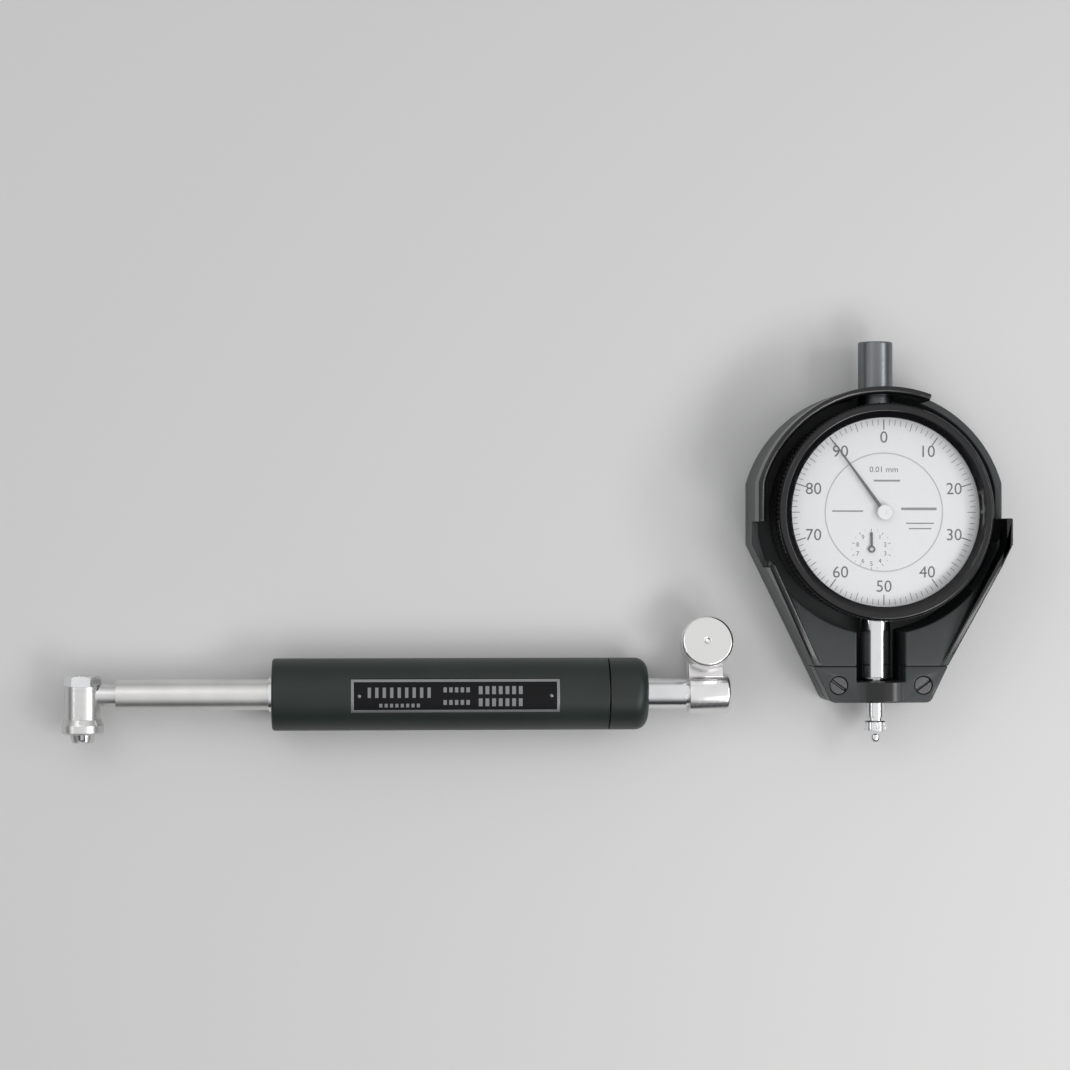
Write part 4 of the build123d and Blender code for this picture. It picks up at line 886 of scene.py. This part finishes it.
# %% Circle round the centre disc
disc_low, disc_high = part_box("centre_disc")
disc_r = (disc_high.x - disc_low.x) / 2
circle_place = (dial.x, dial.y, face_top + 0.01 * mm)
circle_inner, circle_outer = disc_r - 0.1 * mm, disc_r + 0.22 * mm
bpy.ops.object.select_all(action="DESELECT")
bpy.ops.mesh.primitive_circle_add(vertices=160, radius=circle_inner, location=circle_place)
face_circle = bpy.context.active_object
face_circle.name = "face_circle"
bpy.ops.object.mode_set(mode="EDIT")
bpy.ops.mesh.select_all(action="SELECT")
bpy.ops.mesh.extrude_region_move()
circle_share = circle_outer / circle_inner
bpy.ops.transform.resize(value=(circle_share, circle_share, 1), center_override=circle_place)
bpy.ops.mesh.select_all(action="SELECT")
bpy.ops.mesh.extrude_region_move(TRANSFORM_OT_translate={"value": (0, 0, ink)})
bpy.ops.mesh.select_all(action="SELECT")
bpy.ops.mesh.normals_make_consistent(inside=False)
bpy.ops.object.mode_set(mode="OBJECT")
settle(face_circle, pale_ink, "root")
print("circle:", [round(v / mm, 2) for v in face_circle.dimensions], "mm")


# %% [markdown]
# ## The small counter dial and the plain print
#
# The counter dial tells whole turns of the pointer, from 0 to 9. It belongs to the fixed centre
# disc, so its print stays with the case while the scale turns.

# %% Counter dial
counter_r = 5.4 * mm
counter_figure_r = 3.85 * mm
counter_figure_height = 1.15 * mm
counter_turns = 10
counter_ticks = {  # width, length, and the places of the marks in hundredths of a turn
    "turn": (0.14 * mm, 0.7 * mm, range(0, 100, 10)),
    "half turn": (0.08 * mm, 0.4 * mm, range(5, 100, 10)),
}
counter_marks = []
for width, length, steps in counter_ticks.values():
    first = bar(counter.x, counter.y + counter_r - length / 2, face_top, width, length, ink)
    counter_marks += turned_copies(first, counter.xyz, [360 / 100 * n for n in steps])
    bpy.data.objects.remove(first)
for n in range(counter_turns):
    angle = 2 * math.pi * n / counter_turns
    x = counter.x + counter_figure_r * math.sin(angle)
    y = counter.y + counter_figure_r * math.cos(angle)
    counter_marks.append(words(str(n), x, y, face_top, counter_figure_height, ink))
counter_print = joined(counter_marks, "counter_print")
settle(counter_print, dark_ink, "root")
print("counter dial:", len(counter_print.data.polygons), "faces")

# %% [markdown]
# A dial states its division value, here a hundredth of a millimetre. A few plain grey bars give
# the disc the weight of small print without any words.

# %% Print on the centre disc
value_above, value_height = 11.2 * mm, 1.5 * mm
face_words = words("0.01 mm", dial.x, dial.y + value_above, face_top, value_height, ink)
face_words.name = "division_value"
settle(face_words, dark_ink, "root")
bar_places = (  # millimetres right of the middle, above it, long, and thick
    (0.8, 8.3, 7.0, 0.5),
    (9.3, 0.9, 9.4, 0.7),
    (9.6, -2.9, 7.4, 0.35),
    (9.6, -4.3, 6.0, 0.35),
    (-9.6, 0.3, 8.2, 0.4),
)
bars = [
    bar(dial.x + x * mm, dial.y + y * mm, face_top, long * mm, thick * mm, ink)
    for x, y, long, thick in bar_places
]
face_bars = joined(bars, "face_bars")
settle(face_bars, grey_ink, "root")
print("centre disc: the division value and", len(bars), "bars")


# %% [markdown]
# ## The nameplate
#
# The plate is a thin black strip bent round the grip, with a bare bright border. The border and
# the marks are drawn flat over the plate first, cut finely enough, and then wrapped round the
# grip: a point's distance from the grip's middle line becomes a distance along the curve.

# %% Plate border
plate_low, plate_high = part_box("nameplate")
plate_mid = (plate_low + plate_high) / 2
plate_r = plate_high.z - stem.z
border = 0.75 * mm
mark_sunk, mark_thickness = 2 * ink, 5 * ink
plate_x, plate_y = plate_high.x - plate_low.x, plate_high.y - plate_low.y


def wrapped(piece, name, material):
    """Bends a flat drawing over the plate round the grip's axis."""
    for vertex in piece.data.vertices:
        rise = vertex.co.z - plate_high.z
        angle = (vertex.co.y - stem.y) / plate_r
        vertex.co.y = stem.y + (plate_r + rise) * math.sin(angle)
        vertex.co.z = stem.z + (plate_r + rise) * math.cos(angle)
    piece.name = name
    settle(piece, material, "root")
    return piece


def fine_bar(x, y, width, length):
    """A bar that is sunk a little into the plate, and cut across so that it can bend."""
    piece = bar(x, y, plate_high.z - mark_sunk, width, length, mark_thickness)
    only(piece)
    bpy.ops.object.mode_set(mode="EDIT")
    bpy.ops.mesh.select_all(action="SELECT")
    bpy.ops.mesh.subdivide(number_cuts=3 + int(length / mm))
    bpy.ops.object.mode_set(mode="OBJECT")
    return piece


edge_x, edge_y = plate_x / 2 - border / 2, plate_y / 2 - border / 2
frame_bars = [
    fine_bar(plate_mid.x, stem.y + edge_y, plate_x, border),
    fine_bar(plate_mid.x, stem.y - edge_y, plate_x, border),
    fine_bar(plate_mid.x - edge_x, stem.y, border, plate_y),
    fine_bar(plate_mid.x + edge_x, stem.y, border, plate_y),
]
plate_border = wrapped(joined(frame_bars, "plate_border"), "plate_border", border_alloy)
print("plate border:", len(plate_border.data.polygons), "faces")

# %% [markdown]
# The plate's marks are rows of short upright bars. They fill the plate as engraved rows would, and
# they say nothing.

# %% Plate marks
mark_rows = (  # first bar's distance from the left end, height, count, pitch, and bar size
    (4.8, 0.9, 9, 1.95, (0.85, 2.7)),
    (7.8, -2.5, 8, 1.4, (0.8, 1.0)),
    (24.6, 1.6, 5, 1.5, (0.9, 1.3)),
    (24.6, -1.7, 5, 1.5, (0.9, 1.3)),
    (33.9, 1.5, 7, 1.75, (1.0, 2.1)),
    (33.9, -1.7, 7, 1.75, (1.0, 2.1)),
)
mark_bars = []
for first_x, row_y, count, pitch, (bar_width, bar_length) in mark_rows:
    for n in range(count):
        x = plate_low.x + (first_x + pitch * n) * mm
        mark_bars.append(fine_bar(x, stem.y + row_y * mm, bar_width * mm, bar_length * mm))
plate_marks = wrapped(joined(mark_bars, "plate_marks"), "plate_marks", plate_print)
print("plate marks:", len(mark_bars), "bars,", len(plate_marks.data.polygons), "faces")

# %% [markdown]
# A small pin near each end holds the plate on the grip. A pin's head is a short cylinder whose
# upper edge is rounded with a bevel.

# %% Plate pins
pin_r = 0.5 * mm
pin_rise = 0.25 * mm
pin_inset = 2.2 * mm
pin_bevel_share = 0.8  # a pin's bevel over its rise
pins = []
for x in (plate_low.x + pin_inset, plate_high.x - pin_inset):
    bpy.ops.object.select_all(action="DESELECT")
    bpy.ops.mesh.primitive_cylinder_add(
        vertices=32, radius=pin_r, depth=2 * pin_rise, location=(x, stem.y, plate_high.z))
    pin = bpy.context.active_object
    bpy.ops.object.mode_set(mode="EDIT")
    bpy.ops.mesh.select_all(action="SELECT")
    bpy.ops.mesh.bevel(offset=pin_rise * pin_bevel_share, segments=3)
    bpy.ops.object.mode_set(mode="OBJECT")
    pins.append(pin)
plate_pins = joined(pins, "plate_pins")
bpy.ops.object.shade_smooth_by_angle(angle=smooth_angle)
settle(plate_pins, border_alloy, "root")
print("plate pins:", len(plate_pins.data.polygons), "faces")


# %% [markdown]
# ## The table
#
# The table is a plain pale plane under the gauge. It carries the shadow, and it isn't part of
# the object.

# %% Floor
table_width = 6.0
bpy.ops.object.select_all(action="DESELECT")
bpy.ops.mesh.primitive_plane_add(size=table_width, location=(0, 0, 0))
floor = bpy.context.active_object
floor.name = "floor"
floor_finish, _, _ = new_finish("pale table", (0.62, 0.62, 0.615), 0.0, 0.7)
floor.data.materials.append(floor_finish)
print("table:", table_width, "m wide")
